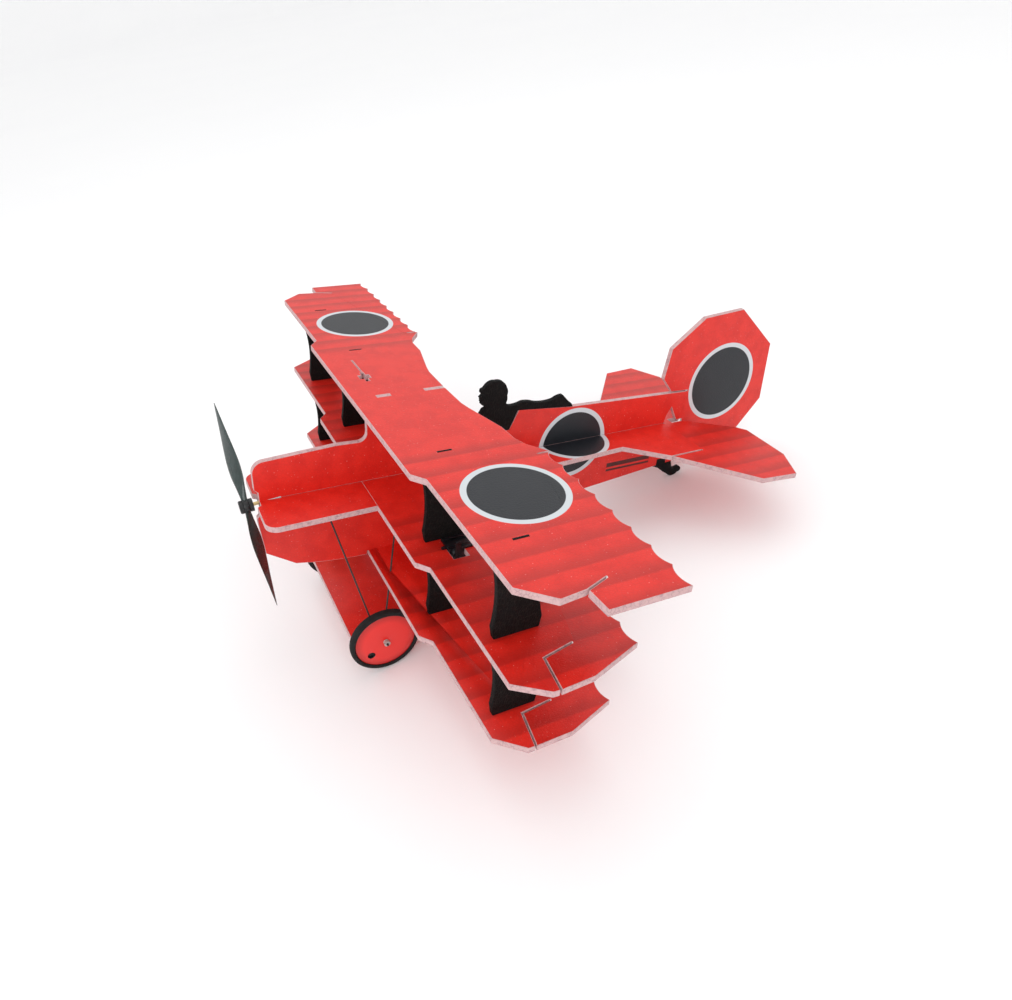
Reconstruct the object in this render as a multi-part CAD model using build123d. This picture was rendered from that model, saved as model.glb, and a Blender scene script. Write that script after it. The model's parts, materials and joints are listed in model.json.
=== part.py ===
from build123d import *
import os
from dataclasses import dataclass
from math import asin, atan2, cos, degrees, hypot, radians, sin, tan

# Flat-sheet foam triplane, radio controlled.
# The model is drawn level: +X port, +Y aft, +Z up, Z = 0 on the top face of the middle wing.
# stance() then tips it nose up about X until both wheels and the tail skid touch Z = 0.

# ---- sheet foam ----
FOAM = 5.0                    # thickness of every foam sheet
HALF = FOAM / 2
SLIT_GAP = 1.2                # open slits beside the control surfaces
HINGE_GAP = 0.25              # from a hinge axis to the sheet edge on each side of it
HINGE_BEVEL = 31.0            # degrees cut off the moving edge, so it can swing 25 degrees
HINGE_RUNOUT = 1.6            # the bevel runs on past the end of an aileron hinge
GLUE_GAP = 0.1                # round tabs and pockets that are glued

# ---- wings ----
TOP_Z = 76.6                  # top face of the top wing
BOTTOM_Z = -74.3              # top face of the bottom wing
TOP_SPAN = 600.0
JOG_IN_X = 126.5              # the centre part of each leading edge stands forward
JOG_OUT_X = 136.7
JOG_STEP = 8.0
AILERON_IN_X = 131.0
SCALLOP_PITCH = 21.0          # fabric-like bays along the trailing edges
SCALLOP_DEPTH = 3.2

# ---- struts ----
STRUT_XS = (103.8, 220.7)
STRUT_TAB = 11.6
STRUT_TAB_HALF = 1.1          # the tabs are pared down to slip into narrow slots
STRUT_FOOT = 18.6             # half width of the flared ends
STRUT_FLARE = 9.0             # height of the flared ends
STRUT_WAIST = 3.0             # how far the sides curve in
UPPER_FOOT_Y = -22.3
UPPER_HEAD_Y = -24.4
LOWER_FOOT_Y = -18.3
LOWER_HEAD_Y = -21.9
STRUT_CORNER = 1.4            # small chamfer at both ends
SPAR_R = 0.75
SPAR_BACK = 8.5               # spar from the outer leading edge
SPAR_REACH = STRUT_XS[1] - 8.0

# ---- fuselage ----
NOSE_Y = -145.6
NOSE_RECESS_Y = -142.6        # the cross of sheets steps back round the propeller shaft
NOSE_RECESS_R = 9.0
NOSE_RADIUS = 10.0
PLATE_HALF_NOSE = 45.0
PLATE_HALF_WING = 43.9
PLATE_HALF_TE = 40.0
PLATE_HALF_TAIL = 31.2
CABANE_FRONT_Y = -50.0
CABANE_TAB_Y = (-40.0, -27.7)
CABANE_REAR_TAB_Y = (2.0, 20.0)
COCKPIT_Y = (55.0, 86.0)
COCKPIT_Z = 25.0
HEADREST = (94.3, 43.6)
TAIL_TOP_Z = 33.3             # fuselage top at the rudder hinge
TAIL_BOTTOM_Z = -49.0
WING_SEAT_FRONT_Y = -54.0
WING_INNER_TE = 38.0          # centre part of the middle and bottom trailing edges
TOP_INNER_TE = ((116.0, 37.2), (105.0, 33.2), (84.0, 32.5), (45.0, 23.0), (34.0, 21.0))
LEAD_SLIT = ((-80.0, -35.9), (-50.0, -34.9))        # shallow channel in the top wing
LEAD_HOLES = (((-50.5, -37.5), (-32.0, -34.5)), ((-45.0, -41.0), (-38.0, -31.5)))
DECK_KNEE = (150.0, 38.0)     # where the rear deck levels out

# ---- tail ----
ELEVATOR_Y = 271.3
RUDDER_Y = 294.5
STAB_ROOT_Y = 198.8
STAB_TIP_Y = 234.1
HORN_X = 63.3                 # slit between stabiliser and elevator
ELEVATOR_NOTCH = 4.0          # half width of the elevator cut-out at the rudder
ELEVATOR_BRIDGE = 9.7         # strip that joins the two elevator halves
BRIDGE_NOTCH_Y = (ELEVATOR_Y + 2.0, ELEVATOR_Y + 6.5, ELEVATOR_Y + 15.6)
BRIDGE_NOTCH_Z = (9.0, 17.5)  # room in the fuselage for the swinging strip
HINGE_STEP = 1.5              # fuselage edge clear of the elevator

# ---- landing gear ----
WHEEL_R = 31.5
WHEEL_WIDTH = 7.4
WHEEL_OUT_X = 76.2
WHEEL_YZ = (-63.0, -120.0)
DISC_R = WHEEL_R - 4.4
AXLE_R = 1.0
RUNNING_FIT = 0.05            # radial
SIDE_GAP = 0.35               # end play beside a part that turns
BLOCK_X = (64.0, 68.3)
FAIRING_CHORD = 54.0
GEAR_ROD_R = 0.75
VALVE = (-13.4, -11.9, 3.4)   # pocket in the wheel disc: offset from the hub and radius
HUB_DISC_R = 5.0
SKID_YZ = (297.5, -60.0)      # centre of the round skid shoe
SKID_R = 9.0
SKID_SHOE = (radians(215), radians(320))
SKID_TAB_Y = (272.0, 284.0)
SKID_TAB_HEIGHT = 7.0

# ---- propeller ----
DOWN_THRUST = 6.0             # degrees
PROP_R = 86.0
PROP_TURN = 29.0              # degrees from upright, blade tip towards starboard
HUB_Y = -152.6
HUB_R = 5.5
HUB_LENGTH = 11.0
BOSS_LENGTH = 5.0
SHAFT_R = 1.5
MOTOR_R = 3.0
MOTOR_LENGTH = 12.0
# share of the tip radius, chord, thickness and pitch angle of each blade section
BLADE_SECTIONS = ((0.035, 4.2, 2.4, 62.0), (0.163, 7.0, 2.0, 46.0), (0.395, 13.4, 1.6, 30.0),
                  (0.628, 12.0, 1.2, 22.0), (0.837, 7.2, 0.9, 17.0), (1.0, 1.6, 0.5, 14.0))

# ---- radio gear ----
SERVO_CASE = (20.0, 8.5, 17.0)
SERVO_AXIS_OFFSET = 5.5       # output axis from the near end of the case
SERVO_EAR = 4.0
SERVO_EAR_Z = (-6.2, -4.4)     # under the case top
SERVO_TOWER = (3.9, 3.2)      # radius, height
SERVO_PIN = (1.2, 6.0)
ARM_Z = (3.55, 5.35)
ARM_HUB_R = 3.0
ARM_TIP_R = 1.8
AILERON_ARM = 12.0
ELEVATOR_ARM = 12.0
RUDDER_ARM = 10.0
PUSHROD_R = 0.5
PIN_R = 0.45
FREE_PIN_GAP = 0.35           # the open end of each pushrod linkage
PUSHROD_CLEAR = 2.6           # pushrod beside its arm
HORN_HALF = 0.6               # half thickness of a control horn
HORN_OFFSET = 3.0             # horn beside the pushrod
LINK_X = 150.0
LINK_R = 0.6
LINK_AFT = 7.6                # aft of the hinge line
BATTERY = (12.0, 42.0, 22.0)
BATTERY_Y = -138.0            # front end
BATTERY_TOP_Z = -16.0
PAD = 1.5                     # hook-and-loop pad
PAD_INSET = 3.0
RECEIVER_DEPTH = 7.0
RECEIVER_YZ = ((4.0, -44.0), (36.0, -24.0))
SOCKETS_YZ = ((35.5, -42.0), (39.0, -26.0))


@dataclass(frozen=True)
class Wing:
    """One wing sheet, port half; the starboard half is its mirror image."""

    name: str
    z: float                  # top face
    le: float                 # outer leading edge
    te: float                 # trailing edge of the aileron
    tip_le: float             # x where the leading edge turns into the tip
    tip: tuple                # widest point of the fixed tip
    slit: tuple               # from the tip edge to the hinge's outboard end
    hinge_y: float            # inboard end of the hinge line
    outline: tuple            # aileron corners beyond the slit, the last on the trailing edge


HALF_SPAN = TOP_SPAN / 2
TOP = Wing("top", TOP_Z, -52.1, 46.8, HALF_SPAN - 38.4, (HALF_SPAN - 19.3, -32.0),
           ((HALF_SPAN - 21.0, -13.7), (HALF_SPAN - 27.0, 3.5)), 36.2,
           ((HALF_SPAN - 1.2, -12.4), (HALF_SPAN, 45.2)))
MIDDLE = Wing("middle", 0.0, -48.4, 48.6, HALF_SPAN - 38.0, (HALF_SPAN - 21.3, -26.4),
              ((HALF_SPAN - 21.0, -21.6), (HALF_SPAN - 49.6, -17.7), (HALF_SPAN - 54.9, 7.7)), 38.8,
              ((HALF_SPAN - 22.2, 4.9), (HALF_SPAN - 36.3, 47.9)))
BOTTOM = Wing("bottom", BOTTOM_Z, -45.1, 51.2, HALF_SPAN - 59.1, (HALF_SPAN - 41.2, -25.7),
              ((HALF_SPAN - 41.0, -20.6), (HALF_SPAN - 70.9, -15.5), (HALF_SPAN - 73.7, 10.6)), 41.4,
              ((HALF_SPAN - 41.3, 10.1), (HALF_SPAN - 54.8, 50.5)))
WINGS = (TOP, MIDDLE, BOTTOM)


# ---- drawing helpers ----

def face_of(corners):
    """Close corners into a face. A corner's third number is the sagitta of the arc that ends there."""
    edges = []
    for start, end in zip(corners[-1:] + corners[:-1], corners):
        a, b = Vector(start[0], start[1]), Vector(end[0], end[1])
        if len(end) > 2:
            side = (b - a).normalized().rotate(Axis.Z, 90)
            edges.append(ThreePointArc(a, (a + b) * 0.5 + side * end[2], b))
        else:
            edges.append(Line(a, b))
    return make_face(edges)


def flat(corners, top):
    """A horizontal foam sheet with its top face at the given height."""
    return Pos(0, 0, top - FOAM) * extrude(face_of(corners), FOAM)


def upright(corners, middle=0.0, thickness=FOAM):
    """A vertical fore-and-aft sheet from (y, z) corners."""
    return Pos(middle, 0, 0) * extrude(Plane.YZ * face_of(corners), thickness / 2, both=True)


def both_sides(shape):
    """The port shape and its starboard mirror image, as separate solids."""
    return [shape, mirror(shape, about=Plane.YZ)]


def joined(shapes):
    """Fuse shapes into one part."""
    first, *rest = shapes
    for shape in rest:
        first = first + shape
    return first


def block(low, high, radius=0.0):
    """An axis-parallel box between two corners, with its edges rounded if asked."""
    size = [b - a for a, b in zip(low, high)]
    centre = [(a + b) / 2 for a, b in zip(low, high)]
    box = Pos(*centre) * Box(*size)
    return fillet(box.edges(), radius) if radius else box


def rod(start, end, radius):
    """A straight round rod between two points."""
    start, end = Vector(*start), Vector(*end)
    plane = Plane(origin=start, z_dir=end - start)
    return extrude(plane * Circle(radius), (end - start).length)


def along(start, end, x):
    """The point with the given x on the line through two points."""
    t = (x - start[0]) / (end[0] - start[0])
    return tuple(a + t * (b - a) for a, b in zip(start, end))


def offset_chain(chain, gaps):
    """Move each run of a 2-D chain to its left by its own gap, and meet again at the corners."""
    runs = []
    for (a, b), gap in zip(zip(chain, chain[1:]), gaps):
        length = hypot(b[0] - a[0], b[1] - a[1])
        d = ((b[0] - a[0]) / length, (b[1] - a[1]) / length)
        shift = (-d[1] * gap, d[0] * gap)
        runs.append(((a[0] + shift[0], a[1] + shift[1]), (b[0] + shift[0], b[1] + shift[1]), d))
    points = [runs[0][0]]
    for (a, _, d), (_, c, e) in zip(runs, runs[1:]):
        cross = d[0] * e[1] - d[1] * e[0]
        t = ((c[0] - a[0]) * e[1] - (c[1] - a[1]) * e[0]) / cross
        points.append((a[0] + d[0] * t, a[1] + d[1] * t))
    return points + [runs[-1][1]]


def hinge_wedge(start, end, up, reach):
    """The prism that bevels a moving edge: it starts on the hinge axis and opens away from it."""
    start, end, up = Vector(*start), Vector(*end), Vector(*up)
    run = end - start
    aft = up.cross(run).normalized()
    plane = Plane(origin=start, x_dir=aft, z_dir=run)
    depth = FOAM + 1
    side = 1 if plane.y_dir.dot(up) > 0 else -1
    corners = [(HINGE_GAP - reach, 0), (HINGE_GAP, 0),
               (HINGE_GAP + depth * tan(radians(HINGE_BEVEL)), -side * depth),
               (HINGE_GAP - reach, -side * depth)]
    return extrude(plane * face_of(corners), run.length)


# ---- wings and ailerons ----

def hinge_end(wing):
    """Outboard end of the aileron hinge line."""
    return wing.slit[-1]


def hinge_y_at(wing, x):
    """Where the aileron hinge line is at a given distance from the centre."""
    end = hinge_end(wing)
    t = (x - AILERON_IN_X) / (end[0] - AILERON_IN_X)
    return wing.hinge_y + t * (end[1] - wing.hinge_y)


def wing_half(wing, inner_te):
    """The fixed part of a wing, port half, before slots."""
    corners = [(0, wing.le - JOG_STEP), (JOG_IN_X, wing.le - JOG_STEP), (JOG_OUT_X, wing.le),
               (wing.tip_le, wing.le), wing.tip, *wing.slit,
               (AILERON_IN_X, wing.hinge_y), (AILERON_IN_X, wing.te + 1.5)]
    corners += inner_te
    return flat(corners, wing.z)


def aileron(wing):
    """The port aileron, with its balance horn, scalloped trailing edge and bevelled hinge edge."""
    chain = [(AILERON_IN_X, wing.te), (AILERON_IN_X, wing.hinge_y), *reversed(wing.slit)]
    gaps = [SLIT_GAP, HINGE_GAP] + [SLIT_GAP] * (len(wing.slit) - 1)
    corners = offset_chain(chain, gaps)
    corners += wing.outline
    start_x = wing.outline[-1][0]
    end_x = corners[0][0]
    bays = max(1, round((start_x - end_x) / SCALLOP_PITCH))
    pitch = (start_x - end_x) / bays
    for bay in range(1, bays):
        corners.append((start_x - bay * pitch, wing.te, SCALLOP_DEPTH))
    corners[0] = (end_x, wing.te, SCALLOP_DEPTH)
    body = flat(corners, wing.z)
    first = (AILERON_IN_X - 4, hinge_y_at(wing, AILERON_IN_X - 4), wing.z)
    end_x = hinge_end(wing)[0] + HINGE_RUNOUT
    last = (end_x, hinge_y_at(wing, end_x), wing.z)
    return body - hinge_wedge(first, last, (0, 0, 1), 2.0)


def strut(x, foot_y, foot_z, head_y, head_z):
    """A waisted foam strut that stands on one sheet and is tabbed into the sheet above."""
    foot, flare = STRUT_FOOT, STRUT_FLARE
    tab = STRUT_TAB / 2
    narrow = foot - STRUT_CORNER
    corners = [(foot_y - narrow, foot_z), (foot_y - foot, foot_z + flare),
               (head_y - foot, head_z - flare, -STRUT_WAIST), (head_y - narrow, head_z),
               (head_y - tab, head_z), (head_y - tab, head_z + FOAM),
               (head_y + tab, head_z + FOAM), (head_y + tab, head_z),
               (head_y + narrow, head_z), (head_y + foot, head_z - flare),
               (foot_y + foot, foot_z + flare, -STRUT_WAIST), (foot_y + narrow, foot_z)]
    sheet = upright(corners, x)
    for low, high in ((-HALF - 1, -STRUT_TAB_HALF), (STRUT_TAB_HALF, HALF + 1)):
        sheet -= block((x + low, head_y - tab - 1, head_z), (x + high, head_y + tab + 1, head_z + FOAM + 1))
    return sheet


def tab_slots(wing, tab_y):
    """Cutters for the strut tabs of one wing."""
    tab = STRUT_TAB / 2 + GLUE_GAP
    width = STRUT_TAB_HALF + GLUE_GAP
    return [block((side * x - width, tab_y - tab, wing.z - FOAM - 1),
                  (side * x + width, tab_y + tab, wing.z + 1))
            for x in STRUT_XS for side in (-1, 1)]


def spar(wing):
    """A carbon rod let into the underside of a wing."""
    y, z = wing.le + SPAR_BACK, wing.z - FOAM + SPAR_R
    return rod((-SPAR_REACH, y, z), (SPAR_REACH, y, z), SPAR_R)


def spar_groove(wing):
    """Cutter for the spar."""
    reach = SPAR_REACH + GLUE_GAP
    y, r = wing.le + SPAR_BACK, SPAR_R + RUNNING_FIT
    return block((-reach, y - r, wing.z - FOAM - 1),
                 (reach, y + r, wing.z - FOAM + 2 * SPAR_R + RUNNING_FIT))


def link_route():
    """Top and bottom ends of the rod that links the three port ailerons."""
    top = (LINK_X, hinge_y_at(TOP, LINK_X) + LINK_AFT, TOP.z - 1.6)
    bottom = (LINK_X, hinge_y_at(BOTTOM, LINK_X) + LINK_AFT, BOTTOM.z - FOAM + 1.6)
    return top, bottom


def link_pivot():
    """Where the link rod crosses the middle aileron."""
    top, bottom = link_route()
    z = MIDDLE.z - HALF
    t = (z - bottom[2]) / (top[2] - bottom[2])
    return tuple(b + t * (a - b) for a, b in zip(top, bottom))


def link_slot(wing):
    """Cutter for the link rod: it leaves room for the rod to tilt in the sheet."""
    top, bottom = link_route()
    t = (wing.z - HALF - bottom[2]) / (top[2] - bottom[2])
    y = bottom[1] + t * (top[1] - bottom[1])
    low = wing.z - FOAM - 1 if wing is not BOTTOM else wing.z - FOAM + 1.0
    high = wing.z + 1 if wing is not TOP else wing.z - 1.0
    return block((LINK_X - 1.1, y - 2.6, low), (LINK_X + 1.1, y + 2.6, high))


def top_wing():
    """The top wing: slotted for the fuselage tabs and struts, notched at the centre."""
    slot = HALF + GLUE_GAP
    inner = [*TOP_INNER_TE, (slot, CABANE_REAR_TAB_Y[1] + 0.4), (slot, CABANE_REAR_TAB_Y[0]),
             (0, CABANE_REAR_TAB_Y[0])]
    half = wing_half(TOP, inner)
    sheet = joined(both_sides(half))
    tab = CABANE_TAB_Y
    sheet -= block((-slot, tab[0] - GLUE_GAP, TOP_Z - FOAM - 1), (slot, tab[1] + GLUE_GAP, TOP_Z + 1))
    for cutter in tab_slots(TOP, UPPER_HEAD_Y) + [spar_groove(TOP)]:
        sheet -= cutter
    sheet -= block((*LEAD_SLIT[0], TOP_Z - 1.2), (*LEAD_SLIT[1], TOP_Z + 1))
    for low, high in LEAD_HOLES:
        sheet -= block((*low, TOP_Z - FOAM - 1), (*high, TOP_Z + 1))
    return sheet


def inner_edge(wing):
    """The plain trailing edge between the ailerons of the two lower wings."""
    return [(116.0, WING_INNER_TE + 1.0), (105.0, WING_INNER_TE), (0, WING_INNER_TE)]


def middle_wing():
    """The middle wing: strut slots, spar groove and the two aileron servo bays."""
    sheet = joined(both_sides(wing_half(MIDDLE, inner_edge(MIDDLE))))
    for cutter in tab_slots(MIDDLE, LOWER_HEAD_Y) + [spar_groove(MIDDLE)]:
        sheet -= cutter
    for cutter in both_sides(servo_bay()):
        sheet -= cutter
    return sheet


def bottom_wing():
    """The bottom wing: the rear gear rods pass through it."""
    sheet = joined(both_sides(wing_half(BOTTOM, inner_edge(BOTTOM))))
    sheet -= spar_groove(BOTTOM)
    for cutter in both_sides(rod(*rear_rod_ends(), GEAR_ROD_R + RUNNING_FIT)):
        sheet -= cutter
    return sheet


# ---- fuselage ----

def front_plate():
    """Horizontal nose sheet, round cornered, from the propeller to the middle wing."""
    start = MIDDLE.le - JOG_STEP
    corner = NOSE_Y + NOSE_RADIUS
    bulge = -NOSE_RADIUS * (1 - cos(radians(45)))
    half = flat([(0, start), (0, NOSE_RECESS_Y), (NOSE_RECESS_R, NOSE_RECESS_Y), (NOSE_RECESS_R + 2, NOSE_Y),
                 (PLATE_HALF_NOSE - NOSE_RADIUS, NOSE_Y), (PLATE_HALF_NOSE, corner, bulge),
                 (PLATE_HALF_WING, start)], 0)
    return joined(both_sides(half)) - motor_bay()


def rear_plate():
    """Horizontal rear sheet that carries the stabiliser."""
    end = ELEVATOR_Y - HINGE_GAP
    half = flat([(0, WING_INNER_TE), (PLATE_HALF_TE, WING_INNER_TE), (PLATE_HALF_TAIL, STAB_ROOT_Y),
                 (HORN_X, STAB_TIP_Y), (HORN_X, end), (0, end)], 0)
    return joined(both_sides(half))


def top_edge_z(y):
    """Height of the fuselage top edge behind the headrest."""
    start_y, start_z = HEADREST
    knee_y, knee_z = DECK_KNEE
    if y < knee_y:
        return start_z + (y - start_y) * (knee_z - start_z) / (knee_y - start_y)
    return knee_z + (y - knee_y) * (TAIL_TOP_Z - knee_z) / (RUDDER_Y - knee_y)


def bottom_edge_z(y):
    """Height of the fuselage bottom edge behind the wings."""
    seat_y = WING_INNER_TE
    return BOTTOM_Z + (y - seat_y) * (TAIL_BOTTOM_Z - BOTTOM_Z) / (RUDDER_Y - seat_y)


def fuselage_upper():
    """Vertical sheet above the plates: nose, cabane, cockpit and rear deck."""
    under = TOP_Z - FOAM
    end = RUDDER_Y - HINGE_GAP
    tab, rear = CABANE_TAB_Y, CABANE_REAR_TAB_Y
    notch, rise = BRIDGE_NOTCH_Y, BRIDGE_NOTCH_Z
    corners = [(NOSE_RECESS_Y, 0), (NOSE_RECESS_Y, NOSE_RECESS_R - 1), (NOSE_Y, NOSE_RECESS_R + 2),
               (NOSE_Y, 26.0), (NOSE_Y + 9.6, 35.8, 2.6), (-76.2, 39.3), (-57.0, 38.6),
               (CABANE_FRONT_Y, 46.0, -2.0), (CABANE_FRONT_Y, under),
               (tab[0], under), (tab[0], TOP_Z), (tab[1], TOP_Z), (tab[1], under),
               (rear[0], under), (rear[0], TOP_Z), (rear[1], TOP_Z), (rear[1], under - 3),
               (34.0, 42.0, -6.0), (COCKPIT_Y[0] - 5, 37.5), (COCKPIT_Y[0], COCKPIT_Z),
               (COCKPIT_Y[1], COCKPIT_Z), HEADREST, DECK_KNEE, (end, TAIL_TOP_Z), (end, HINGE_STEP), (notch[2], HINGE_STEP),
               (notch[1], rise[1]), (notch[0], rise[0]), (ELEVATOR_Y - HINGE_GAP, 0)]
    return upright(corners) - motor_bay()


def fuselage_lower():
    """Vertical sheet under the plates, down to the bottom wing and back to the skid."""
    top = -FOAM
    end = RUDDER_Y - HINGE_GAP
    notch, drop = BRIDGE_NOTCH_Y, BRIDGE_NOTCH_Z
    corners = [(NOSE_RECESS_Y, top), (ELEVATOR_Y - HINGE_GAP, top), (notch[0], top - drop[0]),
               (notch[1], top - drop[1]), (notch[2], top - HINGE_STEP), (end, top - HINGE_STEP),
               (end, TAIL_BOTTOM_Z), (WING_INNER_TE, BOTTOM_Z),
               (WING_SEAT_FRONT_Y, BOTTOM_Z), (WING_SEAT_FRONT_Y, BOTTOM_Z - 4.3),
               (-102.4, -73.7, 1.0), (-118.3, -70.4), (-142.5, -52.9), (NOSE_Y, -20.8), (NOSE_Y, -FOAM - 11),
               (NOSE_RECESS_Y, -FOAM - 8)]
    sheet = upright(corners) - motor_bay() - skid_tab(GLUE_GAP)
    for ends in (front_rod_ends(), rear_rod_ends()):
        for cutter in both_sides(rod(*ends, GEAR_ROD_R + RUNNING_FIT)):
            sheet -= cutter
    return sheet


def pilot_figure():
    """Flat cut-out pilot in flying helmet and goggles, with a streaming scarf."""
    y0, y1 = COCKPIT_Y
    gap = GLUE_GAP
    body = [(y0 + 1.5, COCKPIT_Z + gap), (y1 - gap, COCKPIT_Z + gap), (HEADREST[0] - 1, HEADREST[1] + gap),
            (122.0, top_edge_z(122.0) + gap), (153.5, top_edge_z(153.5) + 3 * gap)]
    scarf = [(149.0, 43.5, -0.8), (141.5, 51.4), (131.0, 48.4, -0.8), (110.5, 48.9, 1.2), (97.5, 51.1, -0.8),
             (84.5, 49.4, 0.8), (80.6, 52.5)]
    helmet = [(81.4, 60.5, -0.8), (80.6, 68.0, -0.9), (69.5, 75.4, -2.6), (58.6, 70.6, -2.0)]
    goggles = [(57.0, 69.4), (55.3, 68.0, -0.5), (55.6, 65.2, -0.5), (56.8, 64.4)]
    face = [(54.0, 61.4, 0.25), (55.6, 60.4), (55.0, 59.3, -0.15), (55.6, 58.4), (55.1, 57.4, -0.15),
            (56.0, 56.4), (56.6, 54.4, -0.5), (60.4, 53.0, -0.4)]
    chest = [(60.2, 50.6), (56.6, 47.4, -0.8), (54.2, 41.0, -0.6), (52.4, 33.0)]
    return upright([*body, *scarf, *helmet, *goggles, *face, *chest])


def skid_tab(gap):
    """The part of the skid that is let into the fuselage."""
    start, end = SKID_TAB_Y
    top = bottom_edge_z((start + end) / 2) + SKID_TAB_HEIGHT + gap
    return block((-HALF - gap, start - gap, bottom_edge_z(start) - 1.5), (HALF + gap, end + gap, top))


def tail_skid():
    """Hooked foam skid under the tail; its shoe is part of a circle."""
    cy, cz = SKID_YZ
    first, last = ((cy + SKID_R * cos(a), cz + SKID_R * sin(a)) for a in SKID_SHOE)
    sagitta = SKID_R * (1 - cos((SKID_SHOE[1] - SKID_SHOE[0]) / 2))
    front, root = SKID_TAB_Y[0] - 4.0, RUDDER_Y - 2.2
    hook = upright([(front, bottom_edge_z(front)), (front + 8.0, cz + 4.6), (front + 16.5, cz - 2.2),
                    first, (*last, -sagitta), (cy + 10.9, cz - 3.8, -0.6), (cy + 6.5, cz + 0.5, -2.0),
                    (cy + 0.3, cz - 0.3, 0.4), (cy - 3.0, cz + 3.6, 0.6), (root, bottom_edge_z(root))])
    return hook + skid_tab(0)


# ---- tail surfaces ----

def elevator():
    """One-piece elevator with balance horns, cut out for the rudder."""
    notch, front = ELEVATOR_NOTCH, ELEVATOR_Y + HINGE_GAP
    side, bridge = HORN_X + SLIT_GAP, ELEVATOR_Y + ELEVATOR_BRIDGE
    half = flat([(0, front), (side, front), (side, STAB_TIP_Y + 1.0), (130.7, 289.2), (134.8, 327.5),
                 (100.9, 344.9), (46.3, 347.0), (37.3, 340.4), (notch, RUDDER_Y + 1.5), (notch, bridge),
                 (0, bridge)], 0)
    body = joined(both_sides(half))
    return body - hinge_wedge((-HORN_X - 0.2, ELEVATOR_Y, 0), (HORN_X + 0.2, ELEVATOR_Y, 0), (0, 0, 1), 2.0)


def rudder():
    """Octagonal rudder with a balance horn above the fuselage."""
    front = RUDDER_Y + HINGE_GAP
    corners = [(front, TAIL_BOTTOM_Z + 1.0), (front, TAIL_TOP_Z + SLIT_GAP),
               (273.0, TAIL_TOP_Z + SLIT_GAP + 1.1), (260.2, 50.7), (263.8, 82.2), (299.6, 110.6),
               (347.4, 115.0), (398.0, 73.1), (404.0, 9.0), (360.0, TAIL_BOTTOM_Z + 1.0)]
    body = upright(corners)
    return body - hinge_wedge((HALF, RUDDER_Y, TAIL_TOP_Z + SLIT_GAP), (HALF, RUDDER_Y, TAIL_BOTTOM_Z - 4),
                              (1, 0, 0), 2.0)


# ---- landing gear ----

def front_rod_ends():
    """Port front rod, from the axle block to the fuselage."""
    low, high = (67.0, WHEEL_YZ[0] - 5.0, WHEEL_YZ[1] + 1.5), (2.5, -91.8, -8.6)
    return low, along(low, high, 1.3)


def rear_rod_ends():
    """Port rear rod, from the axle block through the bottom wing to the fuselage."""
    low, through = (67.0, WHEEL_YZ[0] + 1.4, WHEEL_YZ[1] + 2.6), (39.1, -44.7, BOTTOM_Z)
    return low, along(low, through, 1.3)


def axle_block():
    """Moulded block that holds the axle and both port rods."""
    y, z = WHEEL_YZ
    body = block((BLOCK_X[0], y - 10, z - 4), (BLOCK_X[1], y + 6, z + 9), 1.0)
    body -= rod((BLOCK_X[0] - 1, y, z), (BLOCK_X[1] + 1, y, z), AXLE_R + RUNNING_FIT)
    for ends in (front_rod_ends(), rear_rod_ends()):
        body -= rod(*ends, GEAR_ROD_R + RUNNING_FIT)
    return body


def axle():
    """Carbon axle right through the fairing."""
    y, z = WHEEL_YZ
    reach = WHEEL_OUT_X + 5.0
    return rod((-reach, y, z), (reach, y, z), AXLE_R)


def axle_fairing():
    """Foam sheet between the wheels, bored for the axle."""
    y, z = WHEEL_YZ
    reach = BLOCK_X[0]
    sheet = block((-reach, y - FAIRING_CHORD / 2, z - HALF), (reach, y + FAIRING_CHORD / 2, z + HALF))
    return sheet - rod((-reach - 1, y, z), (reach + 1, y, z), AXLE_R + RUNNING_FIT)


def turned(profile):
    """Revolve (radius, x) corners about the wheel axis."""
    y, z = WHEEL_YZ
    face = Plane.XY * face_of([(p[1], p[0], *p[2:]) for p in profile])
    return Pos(0, y, z) * revolve(face, Axis.X)


def wheel_disc():
    """Domed wheel disc with a moulded rim, hub and valve pocket."""
    out, inner = WHEEL_OUT_X, WHEEL_OUT_X - WHEEL_WIDTH
    bore = AXLE_R + 1.55
    disc = turned([(bore, inner + 0.7), (HUB_DISC_R, inner + 0.7), (HUB_DISC_R, inner + 2.4),
                   (DISC_R - 2.0, inner + 1.6), (DISC_R, inner + 1.6), (DISC_R, out - 1.6),
                   (DISC_R - 0.8, out - 1.2), (HUB_DISC_R, out - 0.1, 0.5), (bore, out - 0.1)])
    y, z = WHEEL_YZ[0] + VALVE[0], WHEEL_YZ[1] + VALVE[1]
    return disc - rod((out - 2.4, y, z), (out + 2, y, z), VALVE[2])


def wheel_bush():
    """Nylon bush pressed into the wheel."""
    out, inner = WHEEL_OUT_X, WHEEL_OUT_X - WHEEL_WIDTH
    bore, outer = AXLE_R + RUNNING_FIT, AXLE_R + 1.5
    return turned([(bore, inner), (outer, inner), (outer, out + 0.4), (bore, out + 0.4)])


def tyre():
    """Foam rubber tyre."""
    out, inner = WHEEL_OUT_X, WHEEL_OUT_X - WHEEL_WIDTH
    low, high = DISC_R + RUNNING_FIT, WHEEL_R
    return turned([(low, inner + 0.9), (low + 1.0, inner), (high - 2.2, inner), (high, inner + 2.2, -0.65),
                   (high, out - 2.2), (high - 2.2, out, -0.65), (low + 1.0, out), (low, out - 0.9)])


def wheel_collar():
    """Retaining collar on the axle end."""
    y, z = WHEEL_YZ
    start = WHEEL_OUT_X + 0.4 + SIDE_GAP
    collar = rod((start, y, z), (start + 2.6, y, z), AXLE_R + 1.7)
    return collar - rod((start - 1, y, z), (start + 4, y, z), AXLE_R + RUNNING_FIT)


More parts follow.
